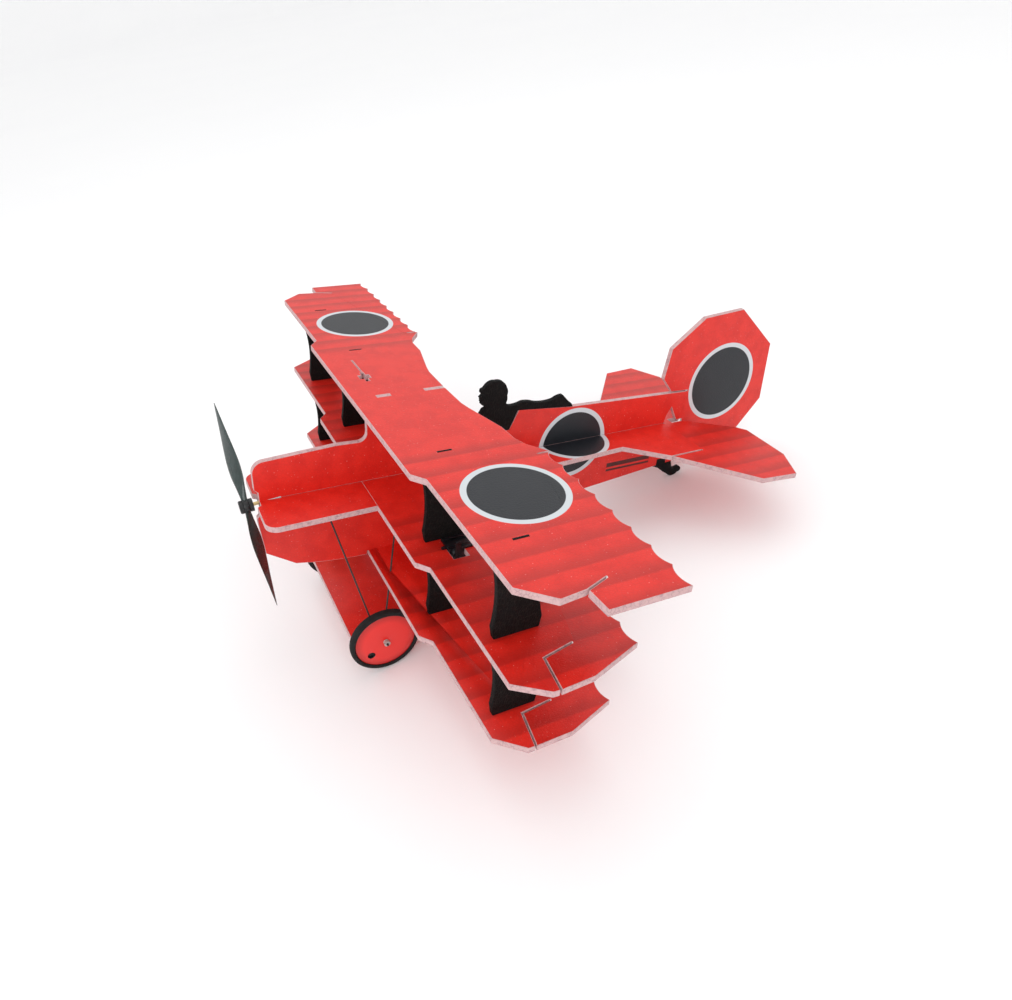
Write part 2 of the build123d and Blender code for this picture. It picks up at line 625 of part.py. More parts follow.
# ---- propeller and motor ----

def thrust_point(distance):
    """A point on the thrust line, measured back from the hub centre."""
    tilt = radians(DOWN_THRUST)
    hub_z = -HALF - (NOSE_RECESS_Y - HUB_Y) * tan(tilt)
    return (0, HUB_Y + distance * cos(tilt), hub_z + distance * sin(tilt))


def thrust_plane(distance):
    """A plane across the thrust line that faces aft along it."""
    a, b = Vector(*thrust_point(distance)), Vector(*thrust_point(distance + 1))
    return Plane(origin=a, x_dir=(1, 0, 0), z_dir=b - a)


def on_thrust_line(start, end, radius, bore=0.0):
    """A round piece on the thrust line, bored through if asked."""
    piece = extrude(thrust_plane(start) * Circle(radius), end - start)
    if bore:
        piece -= extrude(thrust_plane(start - 1) * Circle(bore), end - start + 2)
    return piece


def shaft_reach():
    """How far the shaft runs behind the hub centre: into the motor."""
    return NOSE_RECESS_Y - HUB_Y + 7.0


def blade():
    """One twisted blade along local +X, lofted from lens-shaped sections."""
    sections = []
    for share, chord, thick, pitch in BLADE_SECTIONS:
        half, turn = chord / 2, radians(pitch)
        lens = face_of([(-half, 0, thick * -0.75), (half, 0, thick * -0.25)])
        plane = Plane(origin=(share * PROP_R, 0, 0), x_dir=(0, cos(turn), sin(turn)), z_dir=(1, 0, 0))
        sections.append(plane * lens)
    return loft(sections)


def propeller():
    """Two-blade propeller and its boss."""
    boss = Cylinder(HUB_R - 0.1, BOSS_LENGTH)
    pair = boss + blade() + Rot(0, 0, 180) * blade()
    pair -= Cylinder(SHAFT_R + RUNNING_FIT, 3 * BOSS_LENGTH)
    return thrust_plane(0) * (Rot(0, 0, -90 - PROP_TURN) * pair)


def propeller_nut():
    """Front hub cap."""
    front = extrude(thrust_plane(-HUB_LENGTH / 2) * Circle(HUB_R), HUB_LENGTH / 2 - BOSS_LENGTH / 2)
    front = chamfer(front.edges().group_by(Axis.Y)[0], 0.8)
    return front - extrude(thrust_plane(-HUB_LENGTH / 2 + 1.2) * Circle(SHAFT_R + RUNNING_FIT), HUB_LENGTH)


def propeller_collar():
    """Rear hub collar."""
    return on_thrust_line(BOSS_LENGTH / 2, HUB_LENGTH / 2, HUB_R, SHAFT_R + RUNNING_FIT)


def propeller_shaft():
    """Brass output shaft."""
    return on_thrust_line(-HUB_LENGTH / 2 + 1.3, shaft_reach(), SHAFT_R)


def nose_bearing():
    """Plain bearing tube in the nose."""
    start = NOSE_RECESS_Y - HUB_Y + 0.2
    return on_thrust_line(start, start + 5.5, SHAFT_R + 1.0, SHAFT_R + RUNNING_FIT)


def gear_motor():
    """Slim motor with an in-line gearbox, let into the crossing of the nose sheets."""
    start = NOSE_RECESS_Y - HUB_Y + 5.9
    body = on_thrust_line(start, start + MOTOR_LENGTH, MOTOR_R)
    body -= extrude(thrust_plane(start - 1) * Circle(SHAFT_R + RUNNING_FIT), 4.0)
    return body


def motor_bay():
    """Cutter for the motor and the bearing."""
    start = NOSE_RECESS_Y - HUB_Y
    bay = extrude(thrust_plane(start + 5.7) * Circle(MOTOR_R + GLUE_GAP), MOTOR_LENGTH + 0.4)
    return bay + extrude(thrust_plane(start - 3) * Circle(SHAFT_R + 1.0 + GLUE_GAP), 9)


# ---- radio gear ----

def servo(plane):
    """Micro servo: case, mounting ears, gear tower and output pin."""
    length, width, height = SERVO_CASE
    near = SERVO_AXIS_OFFSET
    low, high = SERVO_EAR_Z
    case = block((near - length, -width / 2, -height), (near, width / 2, 0), 0.6)
    ears = block((near - length - SERVO_EAR, -width / 2, low), (near + SERVO_EAR, width / 2, high))
    ears -= Pos(near + SERVO_EAR / 2, 0, 0) * Cylinder(0.8, 40)
    ears -= Pos(near - length - SERVO_EAR / 2, 0, 0) * Cylinder(0.8, 40)
    tower = extrude(Circle(SERVO_TOWER[0]), SERVO_TOWER[1])
    pin = extrude(Circle(SERVO_PIN[0]), SERVO_PIN[1])
    return plane * (case + ears + tower + pin)


def servo_arm(plane, angle, length):
    """Servo arm that points at an angle in the servo plane, with a hole for the pushrod pin."""
    low, high = ARM_Z
    hub = Pos(0, 0, low) * extrude(Circle(ARM_HUB_R), high - low)
    tip = Pos(length, 0, low) * extrude(Circle(ARM_TIP_R), high - low)
    root = ARM_HUB_R - 0.4
    taper = [(0, -root), (length, -ARM_TIP_R), (length, ARM_TIP_R), (0, root)]
    web = Pos(0, 0, low) * extrude(face_of(taper), high - low)
    arm = hub + tip + web
    arm -= Cylinder(SERVO_PIN[0] + RUNNING_FIT, 30)
    arm -= Pos(length, 0, 0) * Cylinder(PIN_R + RUNNING_FIT, 30)
    return plane * (Rot(0, 0, angle) * arm)


def pushrod(start, end, pin_axis, start_pin, end_pin):
    """Carbon pushrod with a bent pin at each end; pins are (from, to) along the pin axis."""
    axis = Vector(*pin_axis)
    a, b = Vector(*start), Vector(*end)
    body = rod(a, b, PUSHROD_R)
    for point, span in ((a, start_pin), (b, end_pin)):
        body += rod(point + axis * span[0], point + axis * span[1], PIN_R)
        body += Pos(*point) * Sphere(PUSHROD_R)
    return body


def horn(corners, plane, pivot):
    """Control horn plate with an oversize hole at its pivot."""
    plate = extrude(plane * face_of(corners), HORN_HALF, both=True)
    hole = extrude(plane * (Pos(*pivot) * Circle(PIN_R + FREE_PIN_GAP)), 5, both=True)
    return plate - hole


AILERON_SERVO = (124.2, -22.0, -HALF)
ELEVATOR_SERVO = (-HALF - SERVO_CASE[2], 76.0, -15.0)
RUDDER_SERVO = (-HALF - SERVO_CASE[1] / 2, 112.0, 21.0)
AILERON_HORN_X = 139.0
ELEVATOR_ROD_X = ELEVATOR_SERVO[0] - ARM_Z[1] - PUSHROD_CLEAR
RUDDER_ROD_Z = RUDDER_SERVO[2] + ARM_Z[1] + PUSHROD_CLEAR
ARM_MID = (ARM_Z[0] + ARM_Z[1]) / 2


def aileron_servo_plane():
    """Port aileron servo: output axis outboard."""
    return Plane(origin=AILERON_SERVO, x_dir=(0, -1, 0), z_dir=(1, 0, 0))


def elevator_servo_plane():
    """Elevator servo on the starboard side of the fuselage, output axis outboard."""
    return Plane(origin=ELEVATOR_SERVO, x_dir=(0, 1, 0), z_dir=(-1, 0, 0))


def rudder_servo_plane():
    """Rudder servo on the starboard side of the fuselage, output axis up."""
    return Plane(origin=RUDDER_SERVO, x_dir=(0, 1, 0), z_dir=(0, 0, 1))


def servo_bay():
    """Cutter for the port aileron servo and its arm."""
    x, y, _ = AILERON_SERVO
    length, _, height = SERVO_CASE
    near = SERVO_AXIS_OFFSET
    gap = 0.2
    low, high = -FOAM - 1, 1
    bay = block((x - height - gap, y - near - gap, low), (x + gap, y + length - near + gap, high))
    ear_low, ear_high = SERVO_EAR_Z
    bay += block((x + ear_low - gap, y - near - SERVO_EAR - gap, low),
                 (x + ear_high + gap, y + length - near + SERVO_EAR + gap, high))
    return bay + block((x - 1, y - near - gap, low), (x + 9.4, y + 7.0, high))


def aileron_pins():
    """Arm tip and horn pivot of the port aileron linkage."""
    x, y, z = AILERON_SERVO
    tip = (x + ARM_MID, y, z - AILERON_ARM)
    return tip, (AILERON_HORN_X, hinge_y_at(MIDDLE, AILERON_HORN_X), -AILERON_ARM)


def aileron_pushrod():
    """Port aileron pushrod, outboard of the arm and inboard of the horn."""
    tip, pivot = aileron_pins()
    start = (tip[0] + PUSHROD_CLEAR, tip[1], tip[2])
    end = (pivot[0] - 3.4, pivot[1], pivot[2])
    return pushrod(start, end, (1, 0, 0), (-4.4, 0), (0, 6.4))


def aileron_horn():
    """Horn under the port middle aileron."""
    _, pivot = aileron_pins()
    y, z = pivot[1], pivot[2]
    plane = Plane(origin=(AILERON_HORN_X, 0, 0), x_dir=(0, 1, 0), z_dir=(1, 0, 0))
    corners = [(y + 4.4, -FOAM), (y + 9.2, -FOAM), (y + 1.9, z - 1.4), (y - 1.9, z - 1.9, 0.8),
               (y - 1.7, z + 1.9, 0.8)]
    return horn(corners, plane, (y, z))


def elevator_pins():
    """Arm tip and horn pivot of the elevator linkage."""
    x, y, z = ELEVATOR_SERVO
    pivot = (ELEVATOR_ROD_X - HORN_OFFSET, ELEVATOR_Y, -ELEVATOR_ARM)
    return (x - ARM_MID, y, z - ELEVATOR_ARM), pivot


def elevator_pushrod():
    """Elevator pushrod, outboard of the arm and inboard of the horn."""
    tip, pivot = elevator_pins()
    return pushrod((ELEVATOR_ROD_X, tip[1], tip[2]), (ELEVATOR_ROD_X, pivot[1], pivot[2]), (1, 0, 0),
                   (0, 4.8), (-5.0, 0))


def elevator_horn():
    """Horn under the starboard elevator half."""
    _, pivot = elevator_pins()
    y, z = pivot[1], pivot[2]
    plane = Plane(origin=(pivot[0], 0, 0), x_dir=(0, 1, 0), z_dir=(1, 0, 0))
    corners = [(y + 4.4, -FOAM), (y + 13.0, -FOAM), (y + 1.9, z - 1.4), (y - 1.9, z - 1.9, 0.8),
               (y - 1.7, z + 1.9, 0.8)]
    return horn(corners, plane, (y, z))


def rudder_pins():
    """Arm tip and horn pivot of the rudder linkage."""
    x, y, z = RUDDER_SERVO
    pivot = (HALF - RUDDER_ARM, RUDDER_Y, RUDDER_ROD_Z - HORN_OFFSET)
    return (x - RUDDER_ARM, y, z + ARM_MID), pivot


def rudder_pushrod():
    """Rudder pushrod above the arm and the horn."""
    tip, pivot = rudder_pins()
    return pushrod((tip[0], tip[1], RUDDER_ROD_Z), (pivot[0], pivot[1], RUDDER_ROD_Z), (0, 0, 1),
                   (-4.8, 0), (-5.0, 0))


def rudder_horn():
    """Horn on the starboard side of the rudder."""
    _, pivot = rudder_pins()
    x, y = pivot[0], pivot[1]
    plane = Plane(origin=(0, 0, pivot[2]), x_dir=(1, 0, 0), z_dir=(0, 0, 1))
    corners = [(-HALF, y + 4.4), (-HALF, y + 13.0), (x - 1.4, y + 1.9), (x - 1.9, y - 1.9, -0.8),
               (x + 1.9, y - 1.7, -0.8)]
    return horn(corners, plane, (x, y))


def battery():
    """Flat battery pack on the starboard side of the nose."""
    wide, long, tall = BATTERY
    x = -HALF - PAD
    return block((x - wide, BATTERY_Y, BATTERY_TOP_Z - tall), (x, BATTERY_Y + long, BATTERY_TOP_Z), 1.5)


def battery_pad():
    """Hook-and-loop pad behind the battery."""
    _, long, tall = BATTERY
    return block((-HALF - PAD, BATTERY_Y + PAD_INSET, BATTERY_TOP_Z - tall + PAD_INSET),
                 (-HALF, BATTERY_Y + long - PAD_INSET, BATTERY_TOP_Z - PAD_INSET))


def receiver():
    """Receiver with the speed controller, on the starboard side."""
    face = -HALF - RECEIVER_DEPTH
    body = block((face, *RECEIVER_YZ[0]), (-HALF, *RECEIVER_YZ[1]), 0.8)
    return body + block((face + 1.0, *SOCKETS_YZ[0]), (-HALF - 2.0, *SOCKETS_YZ[1]))


# ---- stance ----

def stance_angle():
    """Nose-up angle at which the wheels and the skid touch the same plane."""
    dy, dz = SKID_YZ[0] - WHEEL_YZ[0], SKID_YZ[1] - WHEEL_YZ[1]
    return degrees(atan2(dz, dy) + asin((WHEEL_R - SKID_R) / hypot(dy, dz)))


def level_parts():
    """Every piece, by node name, in the level frame."""
    parts = {"front_plate": front_plate(), "middle_wing": middle_wing(), "rear_plate": rear_plate(),
             "fuselage_upper": fuselage_upper(), "fuselage_lower": fuselage_lower(),
             "top_wing": top_wing(), "bottom_wing": bottom_wing()}
    for wing in WINGS:
        body = aileron(wing) - link_slot(wing)
        port, starboard = both_sides(body)
        parts[f"{wing.name}_aileron_port"] = port
        parts[f"{wing.name}_aileron_starboard"] = starboard
    parts["upper_struts"] = [s for x in STRUT_XS for s in both_sides(
        strut(x, UPPER_FOOT_Y, MIDDLE.z, UPPER_HEAD_Y, TOP.z - FOAM))]
    parts["lower_struts"] = [s for x in STRUT_XS for s in both_sides(
        strut(x, LOWER_FOOT_Y, BOTTOM.z, LOWER_HEAD_Y, MIDDLE.z - FOAM))]
    parts["wing_spars"] = [spar(wing) for wing in WINGS]
    parts |= {"pilot_figure": pilot_figure(), "tail_skid": tail_skid(), "elevator": elevator(),
              "rudder": rudder()}
    parts |= {"axle_fairing": axle_fairing(), "axle": axle(),
              "gear_rods_front": both_sides(rod(*front_rod_ends(), GEAR_ROD_R)),
              "gear_rods_rear": both_sides(rod(*rear_rod_ends(), GEAR_ROD_R)),
              "axle_blocks": both_sides(axle_block()), "wheel_collars": both_sides(wheel_collar())}
    for name, shape in (("wheel_disc", wheel_disc()), ("wheel_bush", wheel_bush()), ("tyre", tyre())):
        parts[f"{name}_port"], parts[f"{name}_starboard"] = both_sides(shape)
    parts |= {"propeller": propeller(), "propeller_nut": propeller_nut(),
              "propeller_collar": propeller_collar(), "propeller_shaft": propeller_shaft(),
              "nose_bearing": nose_bearing(), "gear_motor": gear_motor()}
    plane = aileron_servo_plane()
    link_top, link_bottom = link_route()
    for name, shape in (("aileron_servo", servo(plane)),
                        ("aileron_servo_arm", servo_arm(plane, -90, AILERON_ARM)),
                        ("aileron_pushrod", aileron_pushrod()), ("aileron_horn", aileron_horn()),
                        ("aileron_link", rod(link_top, link_bottom, LINK_R))):
        parts[f"{name}_port"], parts[f"{name}_starboard"] = both_sides(shape)
    plane = elevator_servo_plane()
    parts |= {"elevator_servo": servo(plane), "elevator_servo_arm": servo_arm(plane, 90, ELEVATOR_ARM),
              "elevator_pushrod": elevator_pushrod(), "elevator_horn": elevator_horn()}
    plane = rudder_servo_plane()
    parts |= {"rudder_servo": servo(plane), "rudder_servo_arm": servo_arm(plane, 90, RUDDER_ARM),
              "rudder_pushrod": rudder_pushrod(), "rudder_horn": rudder_horn()}
    parts |= {"battery": battery(), "battery_pad": battery_pad(), "receiver": receiver()}
    return parts


def solids_of(item):
    """The solids of a part or of a list of parts."""
    pieces = item if isinstance(item, list) else [item]
    return [solid for piece in pieces for solid in piece.solids()]


def stance():
    """Location that tips the level model on to its wheels and skid, before it is centred."""
    return Rot(-stance_angle(), 0, 0)


def centre_shift(parts):
    """Move that puts the centre of the bounding box's floor at the origin."""
    box = Compound([stance() * s for item in parts.values() for s in solids_of(item)]).bounding_box()
    return Pos(-(box.min.X + box.max.X) / 2, -(box.min.Y + box.max.Y) / 2, -box.min.Z)


def main():
    """Write one STEP file per node."""
    os.makedirs("parts", exist_ok=True)
    parts = level_parts()
    place = centre_shift(parts) * stance()
    for name, item in parts.items():
        solids = [place * solid for solid in solids_of(item)]
        shape = solids[0] if len(solids) == 1 else Compound(solids)
        export_step(shape, f"parts/{name}.step")
    print(len(parts), "nodes, stance", round(stance_angle(), 2), "degrees")


if __name__ == "__main__":
    main()
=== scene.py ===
"""Looks of the flat-sheet foam triplane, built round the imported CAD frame.

Pieces are drawn in the level frame of the aircraft, in millimetres: +X port, +Y aft, +Z up, with zero
height on the top face of the middle wing. LEVEL carries that frame to the row frame, where the aircraft
stands nose up on its wheels and tail skid.
"""

import json
import logging
import math
from dataclasses import dataclass, field
from enum import Enum
from typing import Callable, Iterable, Optional, Sequence, Union

import bmesh
import bpy
from mathutils import Matrix, Vector
from mathutils.bvhtree import BVHTree

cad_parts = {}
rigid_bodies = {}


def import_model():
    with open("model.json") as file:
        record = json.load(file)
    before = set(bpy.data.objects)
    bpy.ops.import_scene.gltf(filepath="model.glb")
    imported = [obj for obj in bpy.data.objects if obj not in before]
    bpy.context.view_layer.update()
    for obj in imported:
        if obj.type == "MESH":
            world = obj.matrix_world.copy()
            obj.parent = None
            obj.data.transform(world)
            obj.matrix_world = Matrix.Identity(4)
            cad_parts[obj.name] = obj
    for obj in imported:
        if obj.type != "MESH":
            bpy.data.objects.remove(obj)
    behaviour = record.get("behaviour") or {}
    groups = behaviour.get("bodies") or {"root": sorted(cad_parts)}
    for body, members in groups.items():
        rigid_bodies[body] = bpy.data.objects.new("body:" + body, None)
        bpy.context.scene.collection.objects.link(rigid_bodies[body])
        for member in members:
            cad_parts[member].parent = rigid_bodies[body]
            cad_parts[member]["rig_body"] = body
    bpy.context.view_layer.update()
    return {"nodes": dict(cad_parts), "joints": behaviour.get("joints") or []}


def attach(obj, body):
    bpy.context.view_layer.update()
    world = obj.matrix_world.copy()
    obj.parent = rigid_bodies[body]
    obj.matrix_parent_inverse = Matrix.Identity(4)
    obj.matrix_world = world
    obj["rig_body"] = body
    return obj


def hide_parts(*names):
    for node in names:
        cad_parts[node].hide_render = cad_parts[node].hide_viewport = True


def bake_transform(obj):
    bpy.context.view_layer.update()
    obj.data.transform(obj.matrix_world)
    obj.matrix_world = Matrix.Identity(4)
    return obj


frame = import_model()

log = logging.getLogger("triplane")
Number = Union[float, bpy.types.NodeSocket]
Feeds = dict[Union[int, str], object]

MM = 0.001
FOAM = 5.0
ELEVATOR_Y = 271.3
LEVEL_POINT = "level_mm"
BEAD = 2.6                    # width of one foam bead
WELD = 0.002                  # vertices nearer than this are one
COPLANAR = 0.4                # degrees; flatter joins between facets are dissolved
SHARP = 32.0                  # degrees; free edges sharper than this are rounded
FACE_ON = 0.99                # least share of the normal on a sheet's printed face
PORT, AFT, UP = (Vector(axis) for axis in ((1, 0, 0), (0, 1, 0), (0, 0, 1)))
SIDES = ("port", "starboard")
WINGS = ("top", "middle", "bottom")


# ---- frames and joints ----

def joint(name: str) -> dict:
    """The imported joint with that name."""
    return next(j for j in frame["joints"] if j["name"] == name)


def level_frame() -> Matrix:
    """Matrix from level millimetres to the row frame, read from two hinges.

    Returns:
        The 4x4 matrix, scale included.
    """
    port, up = Vector(joint("elevator_hinge")["axis"]), Vector(joint("rudder_hinge")["axis"])
    aft = up.cross(port)
    matrix = Matrix((port, aft, up)).transposed().to_4x4()
    matrix.translation = Vector(joint("elevator_hinge")["pos_m"]) - aft * ELEVATOR_Y * MM
    return matrix @ Matrix.Scale(MM, 4)


LEVEL = level_frame()
TO_LEVEL = LEVEL.inverted()


def at(x: float, y: float, z: float) -> Vector:
    """A level point, in the row frame."""
    return LEVEL @ Vector((x, y, z))


def joint_point(name: str) -> Vector:
    """A joint's place, in level millimetres."""
    return TO_LEVEL @ Vector(joint(name)["pos_m"])


def joint_axis(name: str) -> Vector:
    """A joint's axis, in the level frame."""
    return (TO_LEVEL.to_3x3() @ Vector(joint(name)["axis"])).normalized()


# ---- materials ----

def linear(code: str) -> tuple[float, float, float, float]:
    """Turn an sRGB hex colour into linear RGBA.

    Args:
        code: The colour as #RRGGBB.

    Returns:
        Red, green, blue and alpha in linear light.
    """
    parts = [int(code[i:i + 2], 16) / 255 for i in (1, 3, 5)]
    toned = [c / 12.92 if c <= 0.04045 else ((c + 0.055) / 1.055) ** 2.4 for c in parts]
    return (*toned, 1.0)


def add(tree: bpy.types.NodeTree, kind: str, feeds: Optional[Feeds] = None,
        **settings: object) -> bpy.types.Node:
    """Add one shader node.

    Args:
        tree: The material's node tree.
        kind: The node's type, without "ShaderNode".
        feeds: Input number or name to a value or to the output socket that feeds it.
        **settings: Properties of the node.

    Returns:
        The new node.
    """
    node = tree.nodes.new("ShaderNode" + kind)
    for key, value in settings.items():
        setattr(node, key, value)
    for key, value in (feeds or {}).items():
        if isinstance(value, bpy.types.NodeSocket):
            tree.links.new(value, node.inputs[key])
        else:
            node.inputs[key].default_value = value
    return node


class Sum(Enum):
    """The sums that the patterns need."""

    PLUS = "ADD"
    MINUS = "SUBTRACT"
    TIMES = "MULTIPLY"
    OVER = "DIVIDE"
    SIZE = "ABSOLUTE"
    REST = "FRACT"


@dataclass(frozen=True)
class Pattern:
    """Short forms for the patterns of one node tree."""

    tree: bpy.types.NodeTree

    def sum(self, how: Sum, a: Number, b: Number = 0.0) -> bpy.types.NodeSocket:
        """Combine two numbers or sockets."""
        return add(self.tree, "Math", {0: a, 1: b}, operation=how.value).outputs[0]

    def step(self, value: Number, low: float, high: float, start: float = 0.0,
             end: float = 1.0) -> bpy.types.NodeSocket:
        """Ease smoothly from start to end while the value goes from low to high."""
        feeds = {0: value, 1: low, 2: high, 3: start, 4: end}
        return add(self.tree, "MapRange", feeds, interpolation_type="SMOOTHSTEP").outputs[0]

    def mix(self, share: Number, a: object, b: object) -> bpy.types.NodeSocket:
        """Mix two colours."""
        return add(self.tree, "Mix", {0: share, 6: a, 7: b}, data_type="RGBA").outputs[2]

    def distance(self, u: Number, v: Number) -> bpy.types.NodeSocket:
        """Length of a flat vector."""
        joined = add(self.tree, "CombineXYZ", {0: u, 1: v}).outputs[0]
        return add(self.tree, "VectorMath", {0: joined}, operation="LENGTH").outputs[1]

    def place(self) -> bpy.types.NodeSocket:
        """The level millimetres kept on each vertex."""
        return add(self.tree, "Attribute", attribute_name=LEVEL_POINT).outputs[1]

    def noise(self, where: object, size_mm: float, detail: float = 2.0) -> bpy.types.NodeSocket:
        """Noise with features of about the given size."""
        return add(self.tree, "TexNoise", {0: where, 2: 1 / size_mm, 3: detail}).outputs[0]

    def cells(self, where: object, size_mm: float, feature: str = "F1") -> bpy.types.Node:
        """Rounded cells of about the given size."""
        return add(self.tree, "TexVoronoi", {0: where, 2: 1 / size_mm}, feature=feature)

    def bump(self, height: object, depth_mm: float, strength: float) -> bpy.types.NodeSocket:
        """Relief of the given depth."""
        return add(self.tree, "Bump", {0: strength, 1: depth_mm * MM, 3: height}).outputs[0]


@dataclass(frozen=True)
class Finish:
    """A material: its maker's name and how light meets it."""

    name: str

    def shader(self, tree: bpy.types.NodeTree) -> bpy.types.Node:
        """Draw the surface and return its shader node.

        Args:
            tree: The material's node tree.

        Returns:
            The surface's shader node.
        """
        raise NotImplementedError

    def material(self) -> bpy.types.Material:
        """The finished material, made once.

        Returns:
            The material.
        """
        found = bpy.data.materials.get(self.name)
        if found:
            return found
        material = bpy.data.materials.new(self.name)
        material.use_nodes = True
        tree = material.node_tree
        tree.nodes.clear()
        surface = self.shader(tree)
        add(tree, "OutputMaterial", {0: surface.outputs[0]})
        return material


class SheetPlane(Enum):
    """How a sheet stands: the index of its normal in level coordinates."""

    UPRIGHT = 0
    FLAT = 2


@dataclass(frozen=True)
class Badge:
    """A plain round badge: a slate disc in an off-white ring, placed along the sheet."""

    u: float
    v: float
    radius: float
    ring: float = 4.6


@dataclass(frozen=True)
class Stripe:
    """A plain dark stripe along the fuselage, dropping towards the tail or rising."""

    start: float
    end: float
    height: float
    width: float
    slope: float


@dataclass(frozen=True)
class PrintedFoam(Finish):
    """Printed skin of a moulded-bead foam sheet.

    The ink lies on fused beads, so the red is a little mottled, the beads show as a fine net, pinholes
    between them stay pale, and the skin has a satin gloss. Rib shading is printed across the wings.
    """

    plane: SheetPlane
    badges: tuple[Badge, ...] = ()
    stripes: tuple[Stripe, ...] = ()
    ribs_from: Optional[float] = None
    rib_pitch: float = 21.0

    RED = "#E02517"
    DEEP = "#D41C0F"
    RIB = "#9E1A12"
    PALE = "#F0B9B2"
    SLATE = "#12161D"
    RING = "#CDD2D6"
    STRIPE = "#4A1511"
    PATCH = 14.0              # mm, patches of thinner ink
    PINHOLE = 1.3             # mm
    GRAIN = 0.9               # mm
    PINHOLE_SHARE = 0.45
    NET_SHARE = 0.16
    SHADE_SHARE = 0.5
    WANDER = (30.0, 3.0)      # mm, length and reach of the rib shading's wander
    BADGE_BLUR = 0.15         # mm, half width of a badge's printed edge
    STRIPE_BLUR = 0.12        # mm

    def shader(self, tree: bpy.types.NodeTree) -> bpy.types.Node:
        """Draw the skin: ink, rib shading, badges, stripes and beads.

        Args:
            tree: The material's node tree.

        Returns:
            The surface's shader node.
        """
        pattern = Pattern(tree)
        where = pattern.place()
        parts = add(tree, "SeparateXYZ", {0: where}).outputs
        span = pattern.sum(Sum.SIZE, parts[0])
        u, v = (span, parts[1]) if self.plane is SheetPlane.FLAT else (parts[1], parts[2])
        mottle = pattern.noise(where, self.PATCH, 3.0)
        colour = pattern.mix(pattern.step(mottle, 0.35, 0.7), linear(self.RED), linear(self.DEEP))
        speck = pattern.step(pattern.noise(where, self.PINHOLE, 0.0), 0.79, 0.83)
        colour = pattern.mix(pattern.sum(Sum.TIMES, speck, self.PINHOLE_SHARE), colour, linear(self.PALE))
        if self.ribs_from is not None:
            colour = pattern.mix(self.rib_shade(pattern, span, where), colour, linear(self.RIB))
        net = pattern.cells(where, BEAD, "DISTANCE_TO_EDGE").outputs[0]
        colour = pattern.mix(pattern.step(net, 0.0, 0.12, self.NET_SHARE, 0.0), colour, linear(self.RIB))
        for stripe in self.stripes:
            colour = pattern.mix(self.stripe_mask(pattern, stripe, u, v), colour, linear(self.STRIPE))
        for badge in self.badges:
            reach = pattern.distance(pattern.sum(Sum.MINUS, u, badge.u), pattern.sum(Sum.MINUS, v, badge.v))
            for radius, ink in ((badge.radius, self.RING), (badge.radius - badge.ring, self.SLATE)):
                disc = pattern.step(reach, radius - self.BADGE_BLUR, radius + self.BADGE_BLUR, 1.0, 0.0)
                colour = pattern.mix(disc, colour, linear(ink))
        relief = pattern.sum(Sum.PLUS, pattern.step(net, 0.0, 0.16), pattern.noise(where, self.GRAIN))
        return add(tree, "BsdfPrincipled", {
            "Base Color": colour, "Roughness": 0.46, "IOR": 1.48,
            "Coat Weight": 0.04, "Coat Roughness": 0.35,
            "Normal": pattern.bump(relief, 0.12, 0.35)})

    def rib_shade(self, pattern: Pattern, span: Number, where: Number) -> bpy.types.NodeSocket:
        """How strongly the printed rib shading darkens the ink.

        Args:
            pattern: The node tree's short forms.
            span: Distance from the centre line.
            where: Level point.

        Returns:
            A share from 0 to about a half.
        """
        length, reach = self.WANDER
        wavy = pattern.sum(Sum.TIMES, pattern.noise(where, length), reach)
        along = pattern.sum(Sum.MINUS, pattern.sum(Sum.PLUS, span, wavy), self.ribs_from)
        bay = pattern.sum(Sum.REST, pattern.sum(Sum.OVER, along, self.rib_pitch))
        shade = pattern.sum(Sum.TIMES, pattern.step(bay, 0.25, 0.85), pattern.step(bay, 0.88, 1.0, 1.0, 0.0))
        inside = pattern.step(span, self.ribs_from - 4.0, self.ribs_from + 10.0)
        return pattern.sum(Sum.TIMES, pattern.sum(Sum.TIMES, shade, inside), self.SHADE_SHARE)

    def stripe_mask(self, pattern: Pattern, stripe: Stripe, u: Number, v: Number) -> bpy.types.NodeSocket:
        """One inside the stripe, nought outside.

        Args:
            pattern: The node tree's short forms.
            stripe: The stripe.
            u: Place along the fuselage.
            v: Height on the sheet.

        Returns:
            The share of stripe colour.
        """
        tilt = pattern.sum(Sum.TIMES, pattern.sum(Sum.MINUS, u, stripe.start), stripe.slope)
        off = pattern.sum(Sum.SIZE, pattern.sum(Sum.MINUS, v, pattern.sum(Sum.PLUS, tilt, stripe.height)))
        half = (stripe.end - stripe.start) / 2
        run = pattern.sum(Sum.SIZE, pattern.sum(Sum.MINUS, u, stripe.start + half))
        masks = [pattern.step(value, edge - self.STRIPE_BLUR, edge + self.STRIPE_BLUR, 1.0, 0.0)
                 for value, edge in ((off, stripe.width / 2), (run, half))]
        return pattern.sum(Sum.TIMES, *masks)


